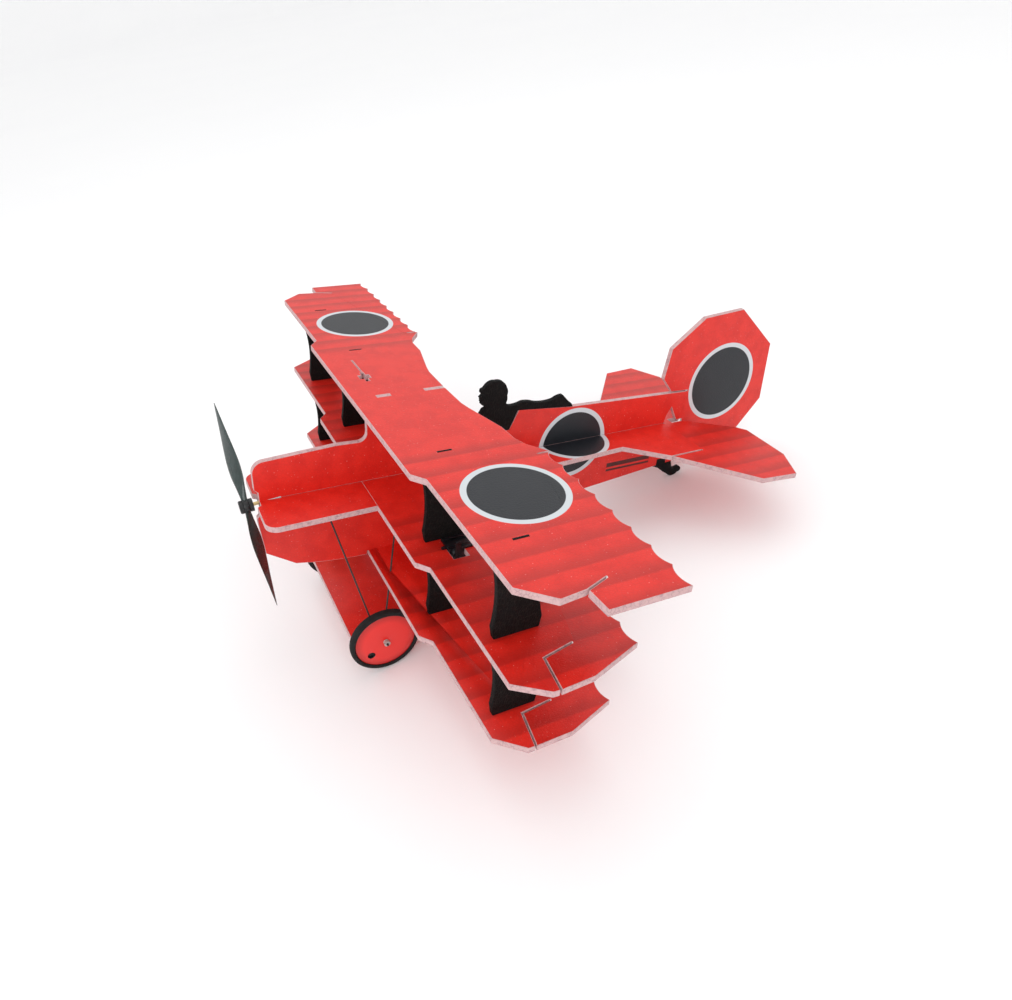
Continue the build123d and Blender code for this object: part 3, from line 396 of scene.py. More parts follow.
@dataclass(frozen=True)
class CutFoam(Finish):
    """Cut edge of the bead foam: unprinted, matt and pinkish white, with the sliced beads showing."""

    LIGHT = "#CFABAB"
    DARK = "#A38084"

    def shader(self, tree: bpy.types.NodeTree) -> bpy.types.Node:
        """Draw sliced beads of slightly different tone, with darker joints.

        Args:
            tree: The material's node tree.

        Returns:
            The surface's shader node.
        """
        pattern = Pattern(tree)
        where = pattern.place()
        net = pattern.cells(where, BEAD, "DISTANCE_TO_EDGE").outputs[0]
        tone = pattern.noise(where, 4.0, 3.0)
        share = pattern.sum(Sum.TIMES, pattern.step(net, 0.0, 0.14, 1.0, 0.25), pattern.step(tone, 0.3, 0.75))
        colour = pattern.mix(share, linear(self.LIGHT), linear(self.DARK))
        relief = pattern.sum(Sum.PLUS, pattern.step(net, 0.0, 0.2), pattern.noise(where, 0.8))
        return add(tree, "BsdfPrincipled", {
            "Base Color": colour, "Roughness": 0.82, "IOR": 1.45,
            "Normal": pattern.bump(relief, 0.25, 0.5)})


@dataclass(frozen=True)
class BlackFoam(Finish):
    """Black bead foam, cut from sheet: fused beads drawn out along the sheet's grain, with faint glints
    painted in between them as painted highlight.
    """

    BLACK = "#030303"
    # Painted highlight: the second colour stands for the brownish glints of the beads and is painted into the
    # base colour.
    PAINTED_GLINT = "#1E1916"

    def shader(self, tree: bpy.types.NodeTree) -> bpy.types.Node:
        """Draw long dark beads with brownish painted highlights between them, standing for glints.

        Args:
            tree: The material's node tree.

        Returns:
            The surface's shader node.
        """
        pattern = Pattern(tree)
        where = pattern.place()
        drawn = add(tree, "Mapping", {0: where, 3: (1.0, 1.0, 0.4)}).outputs[0]
        net = pattern.cells(drawn, 1.7, "DISTANCE_TO_EDGE").outputs[0]
        # Painted highlight: the glints are painted between the beads, where the cell edges meet the noise.
        painted_glint = pattern.sum(Sum.TIMES, pattern.step(net, 0.02, 0.2, 1.0, 0.0),
                            pattern.step(pattern.noise(drawn, 1.4, 3.0), 0.42, 0.72))
        colour = pattern.mix(painted_glint, linear(self.BLACK), linear(self.PAINTED_GLINT))
        relief = pattern.sum(Sum.PLUS, pattern.step(net, 0.0, 0.2), pattern.noise(where, 0.7))
        return add(tree, "BsdfPrincipled", {
            "Base Color": colour, "Roughness": 0.78, "IOR": 1.3,
            "Normal": pattern.bump(relief, 0.3, 0.6)})


@dataclass(frozen=True)
class Moulded(Finish):
    """Injection-moulded plastic: one colour with faint flow mottling and a fine spark-eroded grain."""

    colour: str
    roughness: float
    grain: float = 0.5        # mm
    ior: float = 1.5
    metallic: float = 0.0
    relief: float = 0.2

    def shader(self, tree: bpy.types.NodeTree) -> bpy.types.Node:
        """Draw the mottling and the grain.

        Args:
            tree: The material's node tree.

        Returns:
            The surface's shader node.
        """
        pattern = Pattern(tree)
        where = add(tree, "TexCoord").outputs["Object"]
        fine = add(tree, "Mapping", {0: where, 3: (1 / MM,) * 3}).outputs[0]
        base = linear(self.colour)
        dark = tuple(0.8 * c for c in base[:3]) + (1.0,)
        colour = pattern.mix(pattern.step(pattern.noise(fine, 6.0, 3.0), 0.35, 0.7), base, dark)
        return add(tree, "BsdfPrincipled", {
            "Base Color": colour, "Roughness": self.roughness, "IOR": self.ior, "Metallic": self.metallic,
            "Normal": pattern.bump(pattern.noise(fine, self.grain, 3.0), 0.03, self.relief)})


@dataclass(frozen=True)
class CarbonRod(Finish):
    """Pultruded carbon: nearly black resin with fine fibres along the rod."""

    BLACK = "#0B0807"
    FIBRE = "#241A17"

    def shader(self, tree: bpy.types.NodeTree) -> bpy.types.Node:
        """Draw the fibres as stretched noise.

        Args:
            tree: The material's node tree.

        Returns:
            The surface's shader node.
        """
        pattern = Pattern(tree)
        where = add(tree, "TexCoord").outputs["Object"]
        drawn = add(tree, "Mapping", {0: where, 3: (1 / MM, 1 / MM, 0.05 / MM)}).outputs[0]
        fibres = pattern.noise(drawn, 0.25, 4.0)
        colour = pattern.mix(pattern.step(fibres, 0.4, 0.7), linear(self.BLACK), linear(self.FIBRE))
        return add(tree, "BsdfPrincipled", {
            "Base Color": colour, "Roughness": 0.38, "IOR": 1.55,
            "Normal": pattern.bump(fibres, 0.02, 0.3)})


@dataclass(frozen=True)
class TurnedMetal(Finish):
    """Turned or drawn metal: tool marks run round the piece and blur its highlights."""

    colour: str
    roughness: float

    def shader(self, tree: bpy.types.NodeTree) -> bpy.types.Node:
        """Draw fine tool marks across the thrust line.

        Args:
            tree: The material's node tree.

        Returns:
            The surface's shader node.
        """
        pattern = Pattern(tree)
        where = add(tree, "TexCoord").outputs["Object"]
        drawn = add(tree, "Mapping", {0: where, 3: (0.2 / MM, 1 / MM, 0.2 / MM)}).outputs[0]
        marks = pattern.noise(drawn, 0.3, 3.0)
        rough = pattern.step(marks, 0.3, 0.7, self.roughness - 0.07, self.roughness + 0.08)
        return add(tree, "BsdfPrincipled", {
            "Base Color": linear(self.colour), "Metallic": 1.0, "Roughness": rough,
            "Normal": pattern.bump(marks, 0.02, 0.3)})


@dataclass(frozen=True)
class FoamRubber(Finish):
    """Closed-cell foam rubber of the tyres: matt black with small open pores."""

    BLACK = "#060606"
    WORN = "#151515"

    def shader(self, tree: bpy.types.NodeTree) -> bpy.types.Node:
        """Draw pores and a slightly greyer, worn skin.

        Args:
            tree: The material's node tree.

        Returns:
            The surface's shader node.
        """
        pattern = Pattern(tree)
        where = pattern.place()
        pores = pattern.cells(where, 0.8).outputs[0]
        colour = pattern.mix(pattern.step(pattern.noise(where, 5.0, 3.0), 0.4, 0.75), linear(self.BLACK),
                             linear(self.WORN))
        return add(tree, "BsdfPrincipled", {
            "Base Color": colour, "Roughness": 0.88, "IOR": 1.5,
            "Normal": pattern.bump(pores, 0.2, 0.55)})


@dataclass(frozen=True)
class PrintedDisc(Finish):
    """Thin printed wheel disc: smooth satin red, with painted shade darkening it in a band near the tyre."""

    RED = "#E2231B"
    PAINTED_RIM_SHADE = "#A8120E"

    def shader(self, tree: bpy.types.NodeTree) -> bpy.types.Node:
        """Draw the band of painted shade from the distance to the hub.

        Args:
            tree: The material's node tree.

        Returns:
            The surface's shader node.
        """
        pattern = Pattern(tree)
        where = pattern.place()
        parts = add(tree, "SeparateXYZ", {0: where}).outputs
        hub = joint_point("wheel_port_spin")
        reach = pattern.distance(pattern.sum(Sum.MINUS, parts[1], hub.y),
                                 pattern.sum(Sum.MINUS, parts[2], hub.z))
        # Painted shade: the disc darkens towards the tyre, where the dome turns away from the light.
        band = pattern.sum(Sum.TIMES, pattern.step(reach, 19.0, 26.5), 0.65)
        colour = pattern.mix(band, linear(self.RED), linear(self.PAINTED_RIM_SHADE))
        return add(tree, "BsdfPrincipled", {
            "Base Color": colour, "Roughness": 0.36, "IOR": 1.5, "Coat Weight": 0.25, "Coat Roughness": 0.2,
            "Normal": pattern.bump(pattern.noise(where, 1.2), 0.05, 0.25)})


@dataclass(frozen=True)
class HookPad(Finish):
    """Hook-and-loop tape: a dense black pile of tiny loops."""

    def shader(self, tree: bpy.types.NodeTree) -> bpy.types.Node:
        """Draw loops half a millimetre apart, coarse enough to show.

        Args:
            tree: The material's node tree.

        Returns:
            The surface's shader node.
        """
        pattern = Pattern(tree)
        where = add(tree, "TexCoord").outputs["Object"]
        fine = add(tree, "Mapping", {0: where, 3: (1 / MM,) * 3}).outputs[0]
        loops = pattern.cells(fine, 0.5).outputs[0]
        colour = pattern.mix(pattern.step(loops, 0.1, 0.6), linear("#2A2A2B"), linear("#0D0D0D"))
        return add(tree, "BsdfPrincipled", {
            "Base Color": colour, "Roughness": 0.95, "Sheen Weight": 0.4,
            "Normal": pattern.bump(loops, 0.3, 0.7)})


@dataclass(frozen=True)
class StudioFloor(Finish):
    """Matt painted floor, nearly white."""

    def shader(self, tree: bpy.types.NodeTree) -> bpy.types.Node:
        """Draw an even pale coat with a trace of unevenness.

        Args:
            tree: The material's node tree.

        Returns:
            The surface's shader node.
        """
        pattern = Pattern(tree)
        where = add(tree, "TexCoord").outputs["Object"]
        colour = pattern.mix(pattern.noise(where, 0.5), linear("#FCFCFC"), linear("#F9F9FA"))
        return add(tree, "BsdfPrincipled", {"Base Color": colour, "Roughness": 0.9})


# Badge places follow the sheets they are printed on.
WING_BADGE = Badge(173.2, -2.3, 38.0)
PLATE_BADGE = Badge(0.0, 158.0, 38.0)
SIDE_BADGE = Badge(158.0, -2.5, 38.0)
RUDDER_BADGE = Badge(339.2, 37.4, 43.0)
SIDE_STRIPES = (Stripe(205.0, 260.0, -37.6, 5.0, 0.0), Stripe(205.0, 260.0, -43.6, 2.4, 0.0))

TOP_SKIN = PrintedFoam("foam_skin_top_wing", SheetPlane.FLAT, (WING_BADGE,), (), 95.0)
WING_SKIN = PrintedFoam("foam_skin_lower_wings", SheetPlane.FLAT, (), (), 60.0)
PLATE_SKIN = PrintedFoam("foam_skin_plates", SheetPlane.FLAT, (PLATE_BADGE,))
TAIL_SKIN = PrintedFoam("foam_skin_elevator", SheetPlane.FLAT, (), (), 20.0)
SIDE_SKIN = PrintedFoam("foam_skin_fuselage", SheetPlane.UPRIGHT, (SIDE_BADGE,), SIDE_STRIPES)
RUDDER_SKIN = PrintedFoam("foam_skin_rudder", SheetPlane.UPRIGHT, (RUDDER_BADGE,))
CUT_EDGE = CutFoam("foam_cut_edge")
BLACK_FOAM = BlackFoam("black_bead_foam")
CARBON = CarbonRod("pultruded_carbon_rod")
TYRE_FOAM = FoamRubber("tyre_foam_rubber")
DISC_FACE = PrintedDisc("printed_wheel_disc")
# Bare card-like back of the wheel disc: pale cream and quite matt.
DISC_BACK = Moulded("bare_disc_back", "#E8D8BE", 0.7, 1.2, 1.45, 0.0, 0.4)
# Moulded nylon: off-white and waxy.
NYLON = Moulded("white_moulded_nylon", "#D9DAD4", 0.45)
# Unpainted moulded nylon collars: light grey dots at the hubs.
GREY_NYLON = Moulded("grey_moulded_nylon", "#B4A9A4", 0.5)
# Glass-filled nylon: dark grey-green with broad soft highlights.
BLADE_NYLON = Moulded("glass_filled_nylon_blade", "#2B3836", 0.26, 0.6, 1.53, 0.0, 0.12)
# Black moulded ABS: an even dark satin. It also darkens the valve pockets of the wheel discs as painted shade.
BLACK_ABS_AND_POCKET_SHADE = Moulded("black_moulded_abs_and_pocket_shade", "#101012", 0.42)
# Moulded ABS of the servo cases: a little bluer and glossier.
SERVO_ABS = Moulded("servo_case_abs", "#15161A", 0.36, 0.4)
# Heat-shrunk PVC film: dark blue, glossy and slightly wrinkled.
SHRINK_FILM = Moulded("battery_shrink_film", "#1D3048", 0.28, 2.5, 1.5, 0.0, 0.5)
# Turned brass: warm pale gold with fine tool marks.
BRASS = TurnedMetal("turned_brass", "#CDB583", 0.32)
# Drawn steel: neutral grey with fine marks.
STEEL = TurnedMetal("drawn_steel", "#B9BBBE", 0.32)
# Gold-plated pins: small warm glints.
GOLD = TurnedMetal("gold_plated_pin", "#D9B45A", 0.3)
# Coated paper, left blank: light grey and nearly matt.
LABEL = Moulded("blank_paper_label", "#B9BCC0", 0.55, 0.25, 1.48, 0.0, 0.3)
PAD = HookPad("hook_and_loop_tape")


# ---- mesh making ----

def keep_level_points(mesh: bpy.types.Mesh) -> None:
    """Store each vertex's level millimetres on the mesh, for the patterns."""
    attribute = mesh.attributes.new(LEVEL_POINT, "FLOAT_VECTOR", "POINT")
    attribute.data.foreach_set("vector", [c for v in mesh.vertices for c in v.co])


def finish_piece(name: str, mesh: bpy.types.Mesh, finishes: Sequence[Finish]) -> bpy.types.Object:
    """Turn a mesh drawn in level millimetres into an object in the row frame.

    Args:
        name: The piece's name.
        mesh: Its mesh, whose faces already have their material numbers.
        finishes: The finish of each material number.

    Returns:
        The linked object.
    """
    keep_level_points(mesh)
    mesh.transform(LEVEL)
    for finish in finishes:
        mesh.materials.append(finish.material())
    piece = bpy.data.objects.new(name, mesh)
    bpy.context.scene.collection.objects.link(piece)
    return piece


def from_bmesh(name: str, shape: bmesh.types.BMesh) -> bpy.types.Mesh:
    """Close a bmesh into a new mesh.

    Args:
        name: The mesh's name.
        shape: The shape, which is freed.

    Returns:
        The new mesh.
    """
    mesh = bpy.data.meshes.new(name)
    shape.to_mesh(mesh)
    shape.free()
    return mesh


def copied_shape(node: str) -> bmesh.types.BMesh:
    """A CAD node's shape in level millimetres, with its facets merged into whole faces.

    Args:
        node: The CAD node.

    Returns:
        The shape.
    """
    shape = bmesh.new()
    shape.from_mesh(frame["nodes"][node].data)
    shape.transform(TO_LEVEL)
    bmesh.ops.remove_doubles(shape, verts=shape.verts, dist=WELD)
    bmesh.ops.dissolve_limit(shape, angle_limit=math.radians(COPLANAR), verts=shape.verts, edges=shape.edges)
    return shape


class Neighbours:
    """Finds where a sheet lies against another piece, from the CAD surfaces."""

    def __init__(self, reach: float = 0.36) -> None:
        """Keep the reach in millimetres, and one search tree for each node.

        Args:
            reach: How near counts as touching.
        """
        self.reach = reach
        self.trees: dict[str, BVHTree] = {}
        for name, node in frame["nodes"].items():
            mesh = node.data
            self.trees[name] = BVHTree.FromPolygons([v.co for v in mesh.vertices],
                                                    [tuple(p.vertices) for p in mesh.polygons])

    def touches(self, points: Sequence[Vector], own: str) -> bool:
        """Whether one other piece lies within reach of every point.

        Args:
            points: Level points.
            own: The node that the points belong to.

        Returns:
            True at a seam.
        """
        spots = [LEVEL @ p for p in points]
        return any(all(tree.find_nearest(spot, self.reach * MM)[0] is not None for spot in spots)
                   for name, tree in self.trees.items() if name != own)


NEIGHBOURS = Neighbours()


def body_of(node: str) -> str:
    """The CAD body that a node rides on."""
    return frame["nodes"][node]["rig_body"]


def stand_in(piece: bpy.types.Object, node: str, rides: bool = True) -> None:
    """Let a piece stand for a CAD node, on that node's body.

    Args:
        piece: The piece.
        node: The CAD node that it stands for.
        rides: Whether it also rides on the node's body.
    """
    if rides:
        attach(piece, body_of(node))
    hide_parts(node)
    log.info("%s stands for %s", piece.name, node)


def at_seam(edge: bmesh.types.BMEdge, node: str) -> bool:
    """Whether an edge lies along another piece; such edges stay crisp, so the joint is tight."""
    a, b = (v.co for v in edge.verts)
    return NEIGHBOURS.touches([a.lerp(b, t) for t in (0.2, 0.5, 0.8)], node)


def softened(node: str, rounding: float) -> bmesh.types.BMesh:
    """A CAD node's shape with its free edges rounded.

    Args:
        node: The CAD node.
        rounding: Width of the rounding, in millimetres.

    Returns:
        The shape, in level millimetres.
    """
    shape = copied_shape(node)
    sharp = [edge for edge in shape.edges if len(edge.link_faces) == 2
             and edge.calc_face_angle(0.0) > math.radians(SHARP) and not at_seam(edge, node)]
    bmesh.ops.bevel(shape, geom=sharp, offset=rounding, segments=2, profile=0.5,
                    affect="EDGES", clamp_overlap=False)
    return shape


def put_in_order(shape: bmesh.types.BMesh) -> None:
    """Sort a shape's elements by place, so that each run gives the same mesh.

    Args:
        shape: The shape, in any frame.
    """
    for elements in (shape.verts, shape.edges, shape.faces):
        ranks = {element: rank for rank, element in enumerate(sorted(elements, key=place_key))}
        elements.sort(key=ranks.get)
        elements.index_update()


def place_key(element: Union[bmesh.types.BMVert, bmesh.types.BMEdge, bmesh.types.BMFace]) -> list:
    """The corners of an element, in order of place."""
    verts = [element] if isinstance(element, bmesh.types.BMVert) else element.verts
    return sorted(tuple(vert.co) for vert in verts)


def rounded_box(low: Sequence[float], high: Sequence[float], rounding: float) -> bmesh.types.BMesh:
    """A box between two corners, with rounded edges.

    Args:
        low: The lowest corner.
        high: The highest corner.
        rounding: Width of the rounding.

    Returns:
        The box.
    """
    shape = bmesh.new()
    bmesh.ops.create_cube(shape, size=1.0)
    for vert in shape.verts:
        vert.co = Vector([high[i] if vert.co[i] > 0 else low[i] for i in range(3)])
    bmesh.ops.bevel(shape, geom=shape.edges[:], offset=rounding, segments=2, profile=0.5, affect="EDGES")
    return shape


def fitting(name: str, shape: bmesh.types.BMesh, finish: Finish, node: str) -> bpy.types.Object:
    """Add a small part that no CAD node stands for.

    Args:
        name: The piece's name.
        shape: Its shape, in level millimetres.
        finish: Its finish.
        node: The CAD node whose body it shares.

    Returns:
        The piece.
    """
    piece = finish_piece(name, smooth(from_bmesh(name, shape)), (finish,))
    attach(piece, body_of(node))
    log.info("%s sits on %s", name, node)
    return piece


@dataclass
class FoamSheet:
    """A cut foam sheet with softened edges: printed on both faces, bare where it was cut."""

    node: str
    plane: SheetPlane
    skin: Finish
    edge: Finish = CUT_EDGE
    rounding: float = 0.45

    def build(self) -> bpy.types.Object:
        """Make the sheet's piece.

        Returns:
            The piece, which stands for the CAD node.
        """
        shape = softened(self.node, self.rounding)
        normal = self.plane.value
        for face in shape.faces:
            face.material_index = 0 if abs(face.normal[normal]) > FACE_ON else 1
        piece = finish_piece(self.node + "_foam", from_bmesh(self.node, shape), (self.skin, self.edge))
        stand_in(piece, self.node)
        return piece


@dataclass
class HingeFilm:
    """The printed film left uncut along a hinge, between the two sheets it joins."""

    name: str
    fixed: str
    moving: str
    start: Vector
    end: Vector
    face: Vector              # out of the face that the film lies on
    skin: Finish
    reach: float = 1.3
    thickness: float = 0.06
    lift: float = 0.02
    folds: tuple[float, ...] = (-0.6, -0.4, -0.2, 0.0, 0.2, 0.4, 0.6)    # creases across the hinge
    bend: float = 0.5         # half width of the part that bends

    def build(self) -> bpy.types.Object:
        """Make the strip, finely divided across the hinge.

        Returns:
            The film.
        """
        run = (self.end - self.start).normalized()
        across = self.face.cross(run).normalized()
        steps = (-self.reach, *self.folds, self.reach)
        shape = bmesh.new()
        rings = []
        for end in (self.start, self.end):
            low = [end + across * s + self.face * self.lift for s in steps]
            high = [p + self.face * self.thickness for p in reversed(low)]
            rings.append([shape.verts.new(p) for p in low + high])
        first, last = rings
        count = len(first)
        for i in range(count):
            shape.faces.new((first[i], first[(i + 1) % count], last[(i + 1) % count], last[i]))
        half = len(steps)
        for ring in rings:
            for i in range(half - 1):
                shape.faces.new((ring[i], ring[i + 1], ring[count - 2 - i], ring[count - 1 - i]))
        bmesh.ops.recalc_face_normals(shape, faces=shape.faces)
        piece = finish_piece(self.name, from_bmesh(self.name, shape), (self.skin,))
        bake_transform(piece)
        log.info("%s joins %s and %s", self.name, self.fixed, self.moving)
        return piece


# ---- sub-assemblies ----

@dataclass
class Wings:
    """Three wing sheets with their ailerons and hinge films."""

    skins: dict[str, Finish] = field(default_factory=lambda: {
        "top": TOP_SKIN, "middle": WING_SKIN, "bottom": WING_SKIN})
    hinge_inner: float = 131.0                  # where each aileron hinge starts, from the centre line

    def hinge_name(self, wing: str, side: str) -> str:
        """The joint of one aileron."""
        return "aileron_hinge" if (wing, side) == ("middle", "port") else f"{wing}_aileron_{side}_hinge"

    def hinge_line(self, wing: str, side: str) -> tuple[Vector, Vector]:
        """Both ends of an aileron's hinge, starboard end first.

        Args:
            wing: Which wing.
            side: Which side.

        Returns:
            The two ends.
        """
        middle, axis = joint_point(self.hinge_name(wing, side)), joint_axis(self.hinge_name(wing, side))
        half = (abs(middle.x) - self.hinge_inner) / abs(axis.x)
        return middle - axis * half, middle + axis * half

    def build(self) -> None:
        """Make the wings, ailerons and hinge films."""
        for wing in WINGS:
            FoamSheet(f"{wing}_wing", SheetPlane.FLAT, self.skins[wing]).build()
            for side in SIDES:
                FoamSheet(f"{wing}_aileron_{side}", SheetPlane.FLAT, self.skins[wing]).build()
                HingeFilm(f"{wing}_hinge_film_{side}", "airframe", f"{wing}_aileron_{side}",
                          *self.hinge_line(wing, side), UP, self.skins[wing]).build()


@dataclass
class Fuselage:
    """Crossed plates and vertical sheets, with the pilot and the tail skid."""

    def build(self) -> None:
        """Make the fuselage sheets."""
        FoamSheet("front_plate", SheetPlane.FLAT, PLATE_SKIN).build()
        FoamSheet("rear_plate", SheetPlane.FLAT, PLATE_SKIN).build()
        for node in ("fuselage_upper", "fuselage_lower"):
            FoamSheet(node, SheetPlane.UPRIGHT, SIDE_SKIN).build()
        for node in ("pilot_figure", "tail_skid"):
            FoamSheet(node, SheetPlane.UPRIGHT, BLACK_FOAM, BLACK_FOAM, 0.3).build()
        for node in ("upper_struts", "lower_struts"):
            FoamSheet(node, SheetPlane.UPRIGHT, BLACK_FOAM, BLACK_FOAM, 0.5).build()


@dataclass
class Tail:
    """Elevator and rudder with their hinge films."""

    half_width: float = 63.0
    plate_gap: float = 3.4    # the film stops beside the fuselage sheet
    rudder_top: float = 33.3
    rudder_bottom: float = -48.4
    plate_clear: float = 2.0  # the rudder films stop above and below the rear plate

    def rudder_line(self) -> tuple[Vector, Vector]:
        """Both ends of the rudder hinge, lower end first."""
        foot = joint_point("rudder_hinge")
        return Vector((foot.x, foot.y, self.rudder_bottom)), Vector((foot.x, foot.y, self.rudder_top))

    def build(self) -> None:
        """Make both surfaces and four films."""
        FoamSheet("elevator", SheetPlane.FLAT, TAIL_SKIN).build()
        for side, sign in zip(SIDES, (1, -1)):
            middle = joint_point("elevator_hinge")
            ends = sorted((middle.x + sign * self.plate_gap, middle.x + sign * self.half_width))
            HingeFilm(f"elevator_hinge_film_{side}", "airframe", "elevator",
                      Vector((ends[0], middle.y, middle.z)), Vector((ends[1], middle.y, middle.z)),
                      UP, PLATE_SKIN).build()
        low, high = self.rudder_line()
        FoamSheet("rudder", SheetPlane.UPRIGHT, RUDDER_SKIN).build()
        above = Vector((low.x, low.y, self.plate_clear))
        below = Vector((low.x, low.y, -FOAM - self.plate_clear))
        for name, start, end in (("upper", above, high), ("lower", low, below)):
            HingeFilm(f"rudder_hinge_film_{name}", "airframe", "rudder", start, end, PORT, RUDDER_SKIN).build()


def lathe(points: Sequence[tuple[float, float]], centre: Vector, segments: int = 96) -> bmesh.types.BMesh:
    """Turn a closed outline about a line along X.

    Args:
        points: Corners as (radius, x), in order round the outline.
        centre: A point on the axis; its x isn't used.
        segments: Steps round the axis.

    Returns:
        The turned shape.
    """
    shape = bmesh.new()
    rings = []
    for i in range(segments):
        turn = 2 * math.pi * i / segments
        rings.append([shape.verts.new((x, centre.y + r * math.cos(turn), centre.z + r * math.sin(turn)))
                      for r, x in points])
    for a, b in zip(rings, rings[1:] + rings[:1]):
        for i in range(len(points)):
            j = (i + 1) % len(points)
            shape.faces.new((a[i], a[j], b[j], b[i]))
    bmesh.ops.recalc_face_normals(shape, faces=shape.faces)
    return shape


def smooth(mesh: bpy.types.Mesh, degrees: float = 35.0) -> bpy.types.Mesh:
    """Shade a mesh smoothly, except across edges sharper than the angle.

    Args:
        mesh: The mesh.
        degrees: The sharpest angle that is still smoothed.

    Returns:
        The same mesh.
    """
    mesh.shade_smooth()
    mesh.set_sharp_from_angle(angle=math.radians(degrees))
    return mesh


@dataclass
class Wheel:
    """A light wheel: foam tyre, thin domed disc and nylon bush."""

    side: str
    rim: float = 27.15
    outer: float = 31.5
    width: float = 7.4
    shoulder: float = 2.4
    crown: float = 0.12                                        # the tread's rise at its middle
    bead: tuple[float, float, float] = (0.9, 1.0, 0.05)        # tuck, lip and step at the rim
    arc_step: int = 15                                         # degrees
    back_facing: float = -0.3                                  # normals past this belong to the bare back
    valve: tuple[float, float, float] = (-13.4, -11.9, 3.6)    # pocket, painted black as shade: offset from the hub, and reach

    def tyre_outline(self, inner_x: float) -> list[tuple[float, float]]:
        """Corners of the tyre's section, with rounded shoulders and a slightly crowned tread.

        Args:
            inner_x: Where the tyre's lower side lies.

        Returns:
            Corners as (radius, x).
        """
        tuck, lip, step = self.bead
        far_x = inner_x + self.width
        outline = [(self.rim, inner_x + tuck), (self.rim + lip, inner_x + step)]
        for low, turn in ((inner_x, -1), (far_x, 1)):
            centre = low - turn * self.shoulder
            angles = range(0, 91, self.arc_step) if turn < 0 else range(90, -1, -self.arc_step)
            outline += [(self.outer - self.crown - self.shoulder + self.shoulder * math.sin(math.radians(a)),
                         centre + turn * self.shoulder * math.cos(math.radians(a))) for a in angles]
            if turn < 0:
                outline.append((self.outer, inner_x + self.width / 2))
        return outline + [(self.rim + lip, far_x - step), (self.rim, far_x - tuck)]

    def build(self) -> None:
        """Make the tyre and the disc."""
        hub = joint_point(f"wheel_{self.side}_spin")
        shape = lathe(self.tyre_outline(hub.x - self.width / 2), hub)
        tyre = finish_piece(f"tyre_foam_{self.side}", smooth(from_bmesh("tyre", shape)), (TYRE_FOAM,))
        stand_in(tyre, f"tyre_{self.side}")
        disc_shape = copied_shape(f"wheel_disc_{self.side}")
        outward = 1 if self.side == "port" else -1
        for face in disc_shape.faces:
            middle = face.calc_center_median()
            off = Vector((middle.y - hub.y - self.valve[0], middle.z - hub.z - self.valve[1]))
            bare = face.normal.x * outward < self.back_facing and (middle.x - hub.x) * outward < 0
            # Faces of the valve pocket take the black material: painted shade, standing for the shadow inside
            # the pocket.
            face.material_index = 2 if off.length < self.valve[2] and not bare else int(bare)
        disc = finish_piece(f"wheel_face_{self.side}", smooth(from_bmesh("disc", disc_shape), 30.0),
                            (DISC_FACE, DISC_BACK, BLACK_ABS_AND_POCKET_SHADE))
        stand_in(disc, f"wheel_disc_{self.side}")


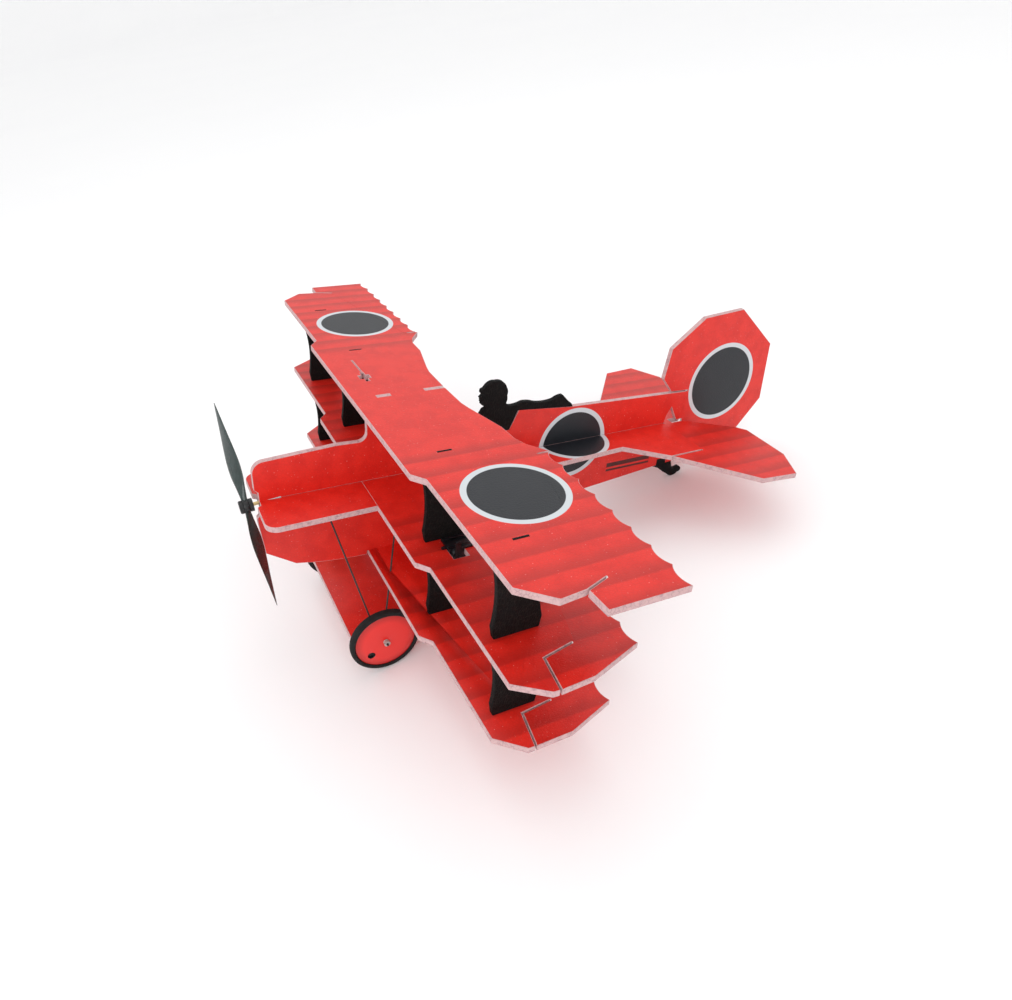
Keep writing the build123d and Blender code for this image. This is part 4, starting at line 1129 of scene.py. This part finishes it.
@dataclass
class Propeller:
    """Two-blade moulded propeller on its boss."""

    tip: float = 86.0
    boss: float = 5.4
    boss_length: float = 5.0
    bore: float = 1.6
    turn: float = 29.0        # degrees from upright
    # share of the tip radius, chord, thickness, pitch angle
    sections: tuple[tuple[float, float, float, float], ...] = (
        (0.04, 5.0, 2.6, 60.0), (0.16, 8.2, 2.1, 49.0), (0.30, 14.0, 1.7, 39.0), (0.42, 16.6, 1.45, 33.0),
        (0.56, 15.4, 1.2, 28.0), (0.70, 12.0, 1.0, 24.0), (0.84, 7.8, 0.8, 21.0), (0.94, 4.2, 0.6, 19.0),
        (1.0, 1.0, 0.4, 18.0))
    steps: int = 36
    round_points: int = 20
    camber: tuple[float, float] = (0.72, 0.28)    # shares of the thickness behind and before the chord
    chamfer: float = 0.5
    boss_points: int = 48

    def section_at(self, share: float) -> tuple[float, float, float]:
        """Chord, thickness and pitch angle at a share of the tip radius, eased between the sections.

        Args:
            share: Share of the tip radius.

        Returns:
            Chord, thickness and pitch angle.
        """
        rows = self.sections
        i = next((k for k in range(len(rows) - 1) if share <= rows[k + 1][0]), len(rows) - 2)
        t = (share - rows[i][0]) / (rows[i + 1][0] - rows[i][0])
        before, after = rows[max(i - 1, 0)], rows[min(i + 2, len(rows) - 1)]
        values = []
        for k in (1, 2, 3):
            a, b, c, d = before[k], rows[i][k], rows[i + 1][k], after[k]
            values.append(0.5 * (2 * b + (c - a) * t + (2 * a - 5 * b + 4 * c - d) * t * t
                                 + (3 * b - a - 3 * c + d) * t ** 3))
        return values[0], values[1], values[2]

    def blade_ring(self, share: float) -> list[Vector]:
        """Points round one section: curved front face, nearly flat back.

        Args:
            share: Share of the tip radius.

        Returns:
            The points, in order.
        """
        chord, thick, pitch = self.section_at(share)
        angle = math.radians(pitch)
        along = Vector((0, math.cos(angle), math.sin(angle)))
        out = Vector((0, -math.sin(angle), math.cos(angle)))
        middle = Vector((share * self.tip, 0, 0))
        behind, before = self.camber
        ring = []
        for i in range(self.round_points):
            a = 2 * math.pi * i / self.round_points
            rise = math.sin(a) * (behind if math.sin(a) < 0 else before)
            ring.append(middle + along * (chord / 2 * math.cos(a)) + out * (thick * rise))
        return ring

    def build(self) -> None:
        """Make the blades and the boss as one moulding."""
        shape = bmesh.new()
        root = self.sections[0][0]
        shares = [root + (1 - root) * i / self.steps for i in range(self.steps + 1)]
        for flip in (0.0, math.pi):
            turned = Matrix.Rotation(flip, 3, "Z")
            rings = [[shape.verts.new(turned @ p) for p in self.blade_ring(s)] for s in shares]
            for a, b in zip(rings, rings[1:]):
                for i in range(self.round_points):
                    j = (i + 1) % self.round_points
                    shape.faces.new((a[i], a[j], b[j], b[i]))
            shape.faces.new(rings[0])
            shape.faces.new(rings[-1])
        neck = self.boss - self.chamfer
        side = 1 - 2 * self.chamfer / self.boss_length
        outline = [(self.bore, -1), (neck, -1), (self.boss, -side), (self.boss, side), (neck, 1),
                   (self.bore, 1)]
        rings = []
        for i in range(self.boss_points):
            a = 2 * math.pi * i / self.boss_points
            rings.append([shape.verts.new((r * math.cos(a), r * math.sin(a), z * self.boss_length / 2))
                          for r, z in outline])
        for a, b in zip(rings, rings[1:] + rings[:1]):
            for i in range(len(outline)):
                j = (i + 1) % len(outline)
                shape.faces.new((a[i], a[j], b[j], b[i])).material_index = 1
        bmesh.ops.recalc_face_normals(shape, faces=shape.faces)
        aft = -joint_axis("propeller_spin")
        hub = Matrix((PORT, aft.cross(PORT), aft)).transposed().to_4x4()
        hub.translation = joint_point("propeller_spin")
        shape.transform(hub @ Matrix.Rotation(math.radians(-90 - self.turn), 4, "Z"))
        piece = finish_piece("propeller_moulding", smooth(from_bmesh("propeller", shape), 50.0),
                             (BLADE_NYLON, BLACK_ABS_AND_POCKET_SHADE))
        stand_in(piece, "propeller")


@dataclass
class Servo:
    """A small servo: a case in three parts held by four screws, with a plain blank label."""

    node: str
    spin: str                                   # the joint of its arm
    outward: Vector                             # the way its output faces
    along: Vector                               # from the far end of the case towards the output
    label_side: int
    arm_height: float = 4.45
    case: tuple[float, float, float] = (20.0, 8.5, 17.0)
    near: float = 5.5                           # from the output to the near end
    seams: tuple[float, float] = (-3.2, -13.6)
    groove: float = 0.16
    rounding: float = 0.3
    screw: tuple[float, float, float] = (0.55, 0.8, 0.3)       # lower and upper radius, height
    screw_inset: float = 1.3
    screw_sink: float = 0.05
    label_inset: float = 2.0
    label_z: tuple[float, float] = (-12.6, -7.4)
    label_thickness: float = 0.08
    label_rounding: float = 0.03

    def cut_seam(self, shape: bmesh.types.BMesh, height: float) -> None:
        """Press a fine groove round the case.

        Args:
            shape: The case, in the servo's own frame.
            height: Where the groove runs.
        """
        for level in (height - self.groove, height, height + self.groove):
            bmesh.ops.bisect_plane(shape, geom=shape.verts[:] + shape.edges[:] + shape.faces[:], dist=1e-5,
                                   plane_co=(0, 0, level), plane_no=(0, 0, 1))
        middle = self.near - self.case[0] / 2
        for vert in shape.verts:
            if abs(vert.co.z - height) < 1e-3:
                vert.co.x -= self.groove * (vert.co.x - middle) / (self.case[0] / 2)
                vert.co.y -= self.groove * vert.co.y / (self.case[1] / 2)

    def build(self) -> None:
        """Make the case, its screws and its label."""
        across = self.outward.cross(self.along)
        place = Matrix((self.along, across, self.outward)).transposed().to_4x4()
        place.translation = joint_point(self.spin) - self.outward * self.arm_height
        shape = softened(self.node, self.rounding)
        shape.transform(place.inverted())
        for seam in self.seams:
            self.cut_seam(shape, seam)
        put_in_order(shape)
        shape.transform(place)
        piece = finish_piece(f"{self.node}_case", smooth(from_bmesh(self.node, shape), 30.0), (SERVO_ABS,))
        stand_in(piece, self.node)
        self.screws(place)
        self.label(place)

    def screws(self, place: Matrix) -> None:
        """Set four screws in the bottom of the case.

        Args:
            place: The servo's own frame.
        """
        length, width, height = self.case
        low, high, depth = self.screw
        shape = bmesh.new()
        for x in (self.near - self.screw_inset, self.near - length + self.screw_inset):
            for y in (-width / 2 + self.screw_inset, width / 2 - self.screw_inset):
                spot = Matrix.Translation((x, y, -height - self.screw_sink))
                bmesh.ops.create_cone(shape, cap_ends=True, segments=20, radius1=low, radius2=high,
                                      depth=depth, matrix=place @ spot)
        fitting(f"{self.node}_screws", shape, STEEL, self.node)

    def label(self, place: Matrix) -> None:
        """Lay a blank label on one flank.

        Args:
            place: The servo's own frame.
        """
        length, width, _ = self.case
        face = self.label_side * width / 2
        low_y, high_y = sorted((face, face + self.label_side * self.label_thickness))
        low_z, high_z = self.label_z
        shape = rounded_box((self.near - length + self.label_inset, low_y, low_z),
                            (self.near - self.label_inset, high_y, high_z), self.label_rounding)
        shape.transform(place)
        fitting(f"{self.node}_label", shape, LABEL, self.node)


@dataclass
class Avionics:
    """Battery in its shrink film, and the receiver with its pins."""

    battery_rounding: float = 0.3
    receiver_rounding: float = 0.35
    band: float = 3.0                           # overlap of the film at each end
    film: float = 0.12                          # how far the folded film stands out
    film_gap: float = 0.4                       # between the fold and the end of the band
    film_rounding: float = 0.7
    back_gap: float = 0.3                       # clear of the sheet behind
    label_ends: tuple[float, float] = (9.0, 9.0)
    receiver_label_ends: tuple[float, float] = (5.0, 9.0)
    label_margin: float = 4.0
    pins: tuple[int, int] = (5, 3)
    pin_pitch: tuple[float, float] = (2.54, 2.0)
    pin: tuple[float, float] = (0.6, 3.6)       # width and length
    pin_out: float = 1.4                        # from the end face to the pin's middle

    def cased(self, node: str, name: str, rounding: float, finish: Finish) -> tuple[Vector, Vector]:
        """Make a box with softened edges.

        Args:
            node: The CAD node.
            name: The piece's name.
            rounding: Width of the rounding.
            finish: The box's finish.

        Returns:
            The box's lowest and highest corner, in level millimetres.
        """
        shape = softened(node, rounding)
        corners = [v.co.copy() for v in shape.verts]
        low, high = (Vector([pick(c[i] for c in corners) for i in range(3)]) for pick in (min, max))
        piece = finish_piece(name, smooth(from_bmesh(node, shape), 40.0), (finish,))
        stand_in(piece, node)
        return low, high

    def battery(self) -> None:
        """Make the pack, the film's folded ends, and a plain label."""
        low, high = self.cased("battery", "battery_pack", self.battery_rounding, SHRINK_FILM)
        for name, start, end in (("front", low.y, low.y + self.band), ("rear", high.y - self.band, high.y)):
            fold = rounded_box((low.x - self.film, start + self.film_gap, low.z - self.film),
                               (high.x - self.back_gap, end - self.film_gap, high.z + self.film),
                               self.film_rounding)
            fitting(f"battery_film_{name}", fold, SHRINK_FILM, "battery")
        self.label("battery", low, high, self.label_ends, 0.1, 0.08)

    def label(self, node: str, low: Vector, high: Vector, ends: tuple[float, float], out: float,
              rounding: float) -> None:
        """Lay a blank label on a box's outer face.

        Args:
            node: The CAD node.
            low: The box's lowest corner.
            high: The box's highest corner.
            ends: Bare lengths before and behind the label.
            out: How far the label stands out.
            rounding: Width of the rounding of its edges.
        """
        margin = self.label_margin
        shape = rounded_box((low.x - out, low.y + ends[0], low.z + margin),
                            (low.x + self.back_gap, high.y - ends[1], high.z - margin), rounding)
        fitting(f"{node}_label", shape, LABEL, node)

    def receiver(self) -> None:
        """Make the receiver's box, a plain label and the pins on its rear end."""
        low, high = self.cased("receiver", "receiver_box", self.receiver_rounding, BLACK_ABS_AND_POCKET_SHADE)
        self.label("receiver", low, high, self.receiver_label_ends, 0.08, 0.05)
        rows, columns = self.pins
        up, across = self.pin_pitch
        width, length = self.pin
        middle = (low + high) / 2
        shape = bmesh.new()
        for row in range(rows):
            for column in range(columns):
                x = middle.x + (column - (columns - 1) / 2) * across
                z = middle.z + (row - (rows - 1) / 2) * up
                spot = Matrix.Translation((x, high.y + self.pin_out, z))
                stretched = Matrix.Diagonal((width, length, width, 1.0))
                bmesh.ops.create_cube(shape, size=1.0, matrix=spot @ stretched)
        fitting("receiver_pins", shape, GOLD, "receiver")

    def build(self) -> None:
        """Dress the battery and the receiver."""
        self.battery()
        self.receiver()


@dataclass
class CadPieces:
    """The CAD nodes whose shape is shown as it is, with their finishes."""

    finishes: dict[str, Finish] = field(default_factory=lambda: {
        "wing_spars": CARBON, "axle": CARBON, "gear_rods_front": CARBON, "gear_rods_rear": CARBON,
        "aileron_link": CARBON, "pushrod": CARBON, "horn": BLACK_ABS_AND_POCKET_SHADE, "servo_arm": BLACK_ABS_AND_POCKET_SHADE,
        "servo": SERVO_ABS, "wheel_bush": NYLON, "wheel_collars": GREY_NYLON, "axle_blocks": BLACK_ABS_AND_POCKET_SHADE,
        "propeller_nut": BLACK_ABS_AND_POCKET_SHADE, "propeller_collar": BLACK_ABS_AND_POCKET_SHADE, "propeller_shaft": BRASS,
        "nose_bearing": BRASS, "gear_motor": STEEL, "battery_pad": PAD, "battery": SHRINK_FILM,
        "receiver": BLACK_ABS_AND_POCKET_SHADE})

    def build(self) -> None:
        """Dress every CAD node that still shows."""
        for name, node in frame["nodes"].items():
            if node.hide_render:
                continue
            finish = next((f for key, f in self.finishes.items() if key in name), None)
            if finish is None:
                continue
            node.data.materials.clear()
            node.data.materials.append(finish.material())
            log.info("%s finished as %s", name, finish.name)


@dataclass
class AxleFairing:
    """Foam sheet between the wheels."""

    def build(self) -> None:
        """Make the fairing as a printed sheet."""
        FoamSheet("axle_fairing", SheetPlane.FLAT, PLATE_SKIN).build()


@dataclass
class Studio:
    """Pale seamless backdrop, soft lights and the camera."""

    eye: tuple[float, float, float] = (537.1, -218.8, 337.5)
    forward: tuple[float, float, float] = (-0.7327, 0.4210, -0.5348)
    upward: tuple[float, float, float] = (-0.5013, 0.1976, 0.8424)
    lens: float = 26.41
    sensor: float = 36.0
    clip: tuple[float, float] = (0.01, 60.0)
    floor_reach: float = 9.0
    wall_height: float = 5.0
    bend: float = 1.5
    aim: tuple[float, float, float] = (0.0, 60.0, 0.0)         # level point that the lights face
    sky: float = 1.0
    # name, place in metres, watts, side in metres
    lamps: tuple[tuple[str, tuple[float, float, float], float, float], ...] = (
        ("overhead", (-0.5, 0.3, 2.2), 7.0, 1.8), ("front", (1.8, -1.6, 1.3), 17.0, 1.2))

    def camera(self) -> None:
        """Place the camera in the level frame."""
        data = bpy.data.cameras.new("camera")
        data.lens, data.sensor_width = self.lens, self.sensor
        data.clip_start, data.clip_end = self.clip
        camera = bpy.data.objects.new("camera", data)
        back, up = -Vector(self.forward), Vector(self.upward)
        right = up.cross(back)
        turn = Matrix((right, up, back)).transposed()
        placed = LEVEL.to_3x3().normalized() @ turn
        camera.matrix_world = Matrix.Translation(at(*self.eye)) @ placed.to_4x4()
        bpy.context.scene.collection.objects.link(camera)
        bpy.context.scene.camera = camera

    def backdrop(self) -> None:
        """Make the floor, which curves up into a wall all round."""
        shape = bmesh.new()
        bend = self.bend
        profile = [(0.0, 0.0), (self.floor_reach, 0.0)]
        profile += [(self.floor_reach + bend * math.sin(a), bend * (1 - math.cos(a)))
                    for a in [math.radians(d) for d in range(10, 91, 10)]]
        profile.append((self.floor_reach + bend, self.wall_height))
        verts = [shape.verts.new((r, 0, z)) for r, z in profile]
        edges = [shape.edges.new(pair) for pair in zip(verts, verts[1:])]
        bmesh.ops.spin(shape, geom=verts + edges, cent=(0, 0, 0), axis=(0, 0, 1), angle=2 * math.pi, steps=96)
        bmesh.ops.remove_doubles(shape, verts=shape.verts, dist=1e-5)
        bmesh.ops.recalc_face_normals(shape, faces=shape.faces)
        mesh = smooth(from_bmesh("backdrop", shape), 60.0)
        mesh.materials.append(StudioFloor("studio_floor_paint").material())
        floor = bpy.data.objects.new("backdrop", mesh)
        bpy.context.scene.collection.objects.link(floor)

    def softbox(self, name: str, place: Vector, power: float, size: float) -> None:
        """Hang a square soft light that faces the aircraft.

        Args:
            name: The light's name.
            place: Where it hangs, in metres.
            power: Its power in watts.
            size: Its side in metres.
        """
        data = bpy.data.lights.new(name, "AREA")
        data.energy, data.size = power, size
        lamp = bpy.data.objects.new(name, data)
        lamp.location = place
        lamp.rotation_mode = "QUATERNION"
        lamp.rotation_quaternion = (at(*self.aim) - place).to_track_quat("-Z", "Y")
        bpy.context.scene.collection.objects.link(lamp)

    def build(self) -> None:
        """Set the stage."""
        self.backdrop()
        for name, place, power, size in self.lamps:
            self.softbox(name, Vector(place), power, size)
        world = bpy.data.worlds.new("studio")
        world.use_nodes = True
        world.node_tree.nodes["Background"].inputs[0].default_value = (1, 1, 1, 1)
        world.node_tree.nodes["Background"].inputs[1].default_value = self.sky
        bpy.context.scene.world = world
        bpy.context.scene.view_settings.view_transform = "Standard"
        self.camera()


def servos() -> list[Servo]:
    """The four servos: one in each half of the middle wing and two beside the fuselage.

    Returns:
        The servos, ready to build.
    """
    return [Servo("aileron_servo_port", "aileron_servo_port_spin", PORT, -AFT, 1),
            Servo("aileron_servo_starboard", "aileron_servo_starboard_spin", -PORT, -AFT, -1),
            Servo("elevator_servo", "elevator_servo_spin", -PORT, AFT, 1),
            Servo("rudder_servo", "rudder_servo_spin", UP, AFT, 1)]


def main() -> None:
    """Build every sub-assembly in order."""
    logging.basicConfig(level=logging.INFO, format="%(name)s: %(message)s")
    assemblies: Iterable[Callable[[], None]] = (
        Wings().build, Fuselage().build, Tail().build, AxleFairing().build,
        *(Wheel(side).build for side in SIDES), Propeller().build, *(servo.build for servo in servos()),
        Avionics().build, CadPieces().build, Studio().build)
    for build in assemblies:
        build()


if __name__ == "__main__":
    main()
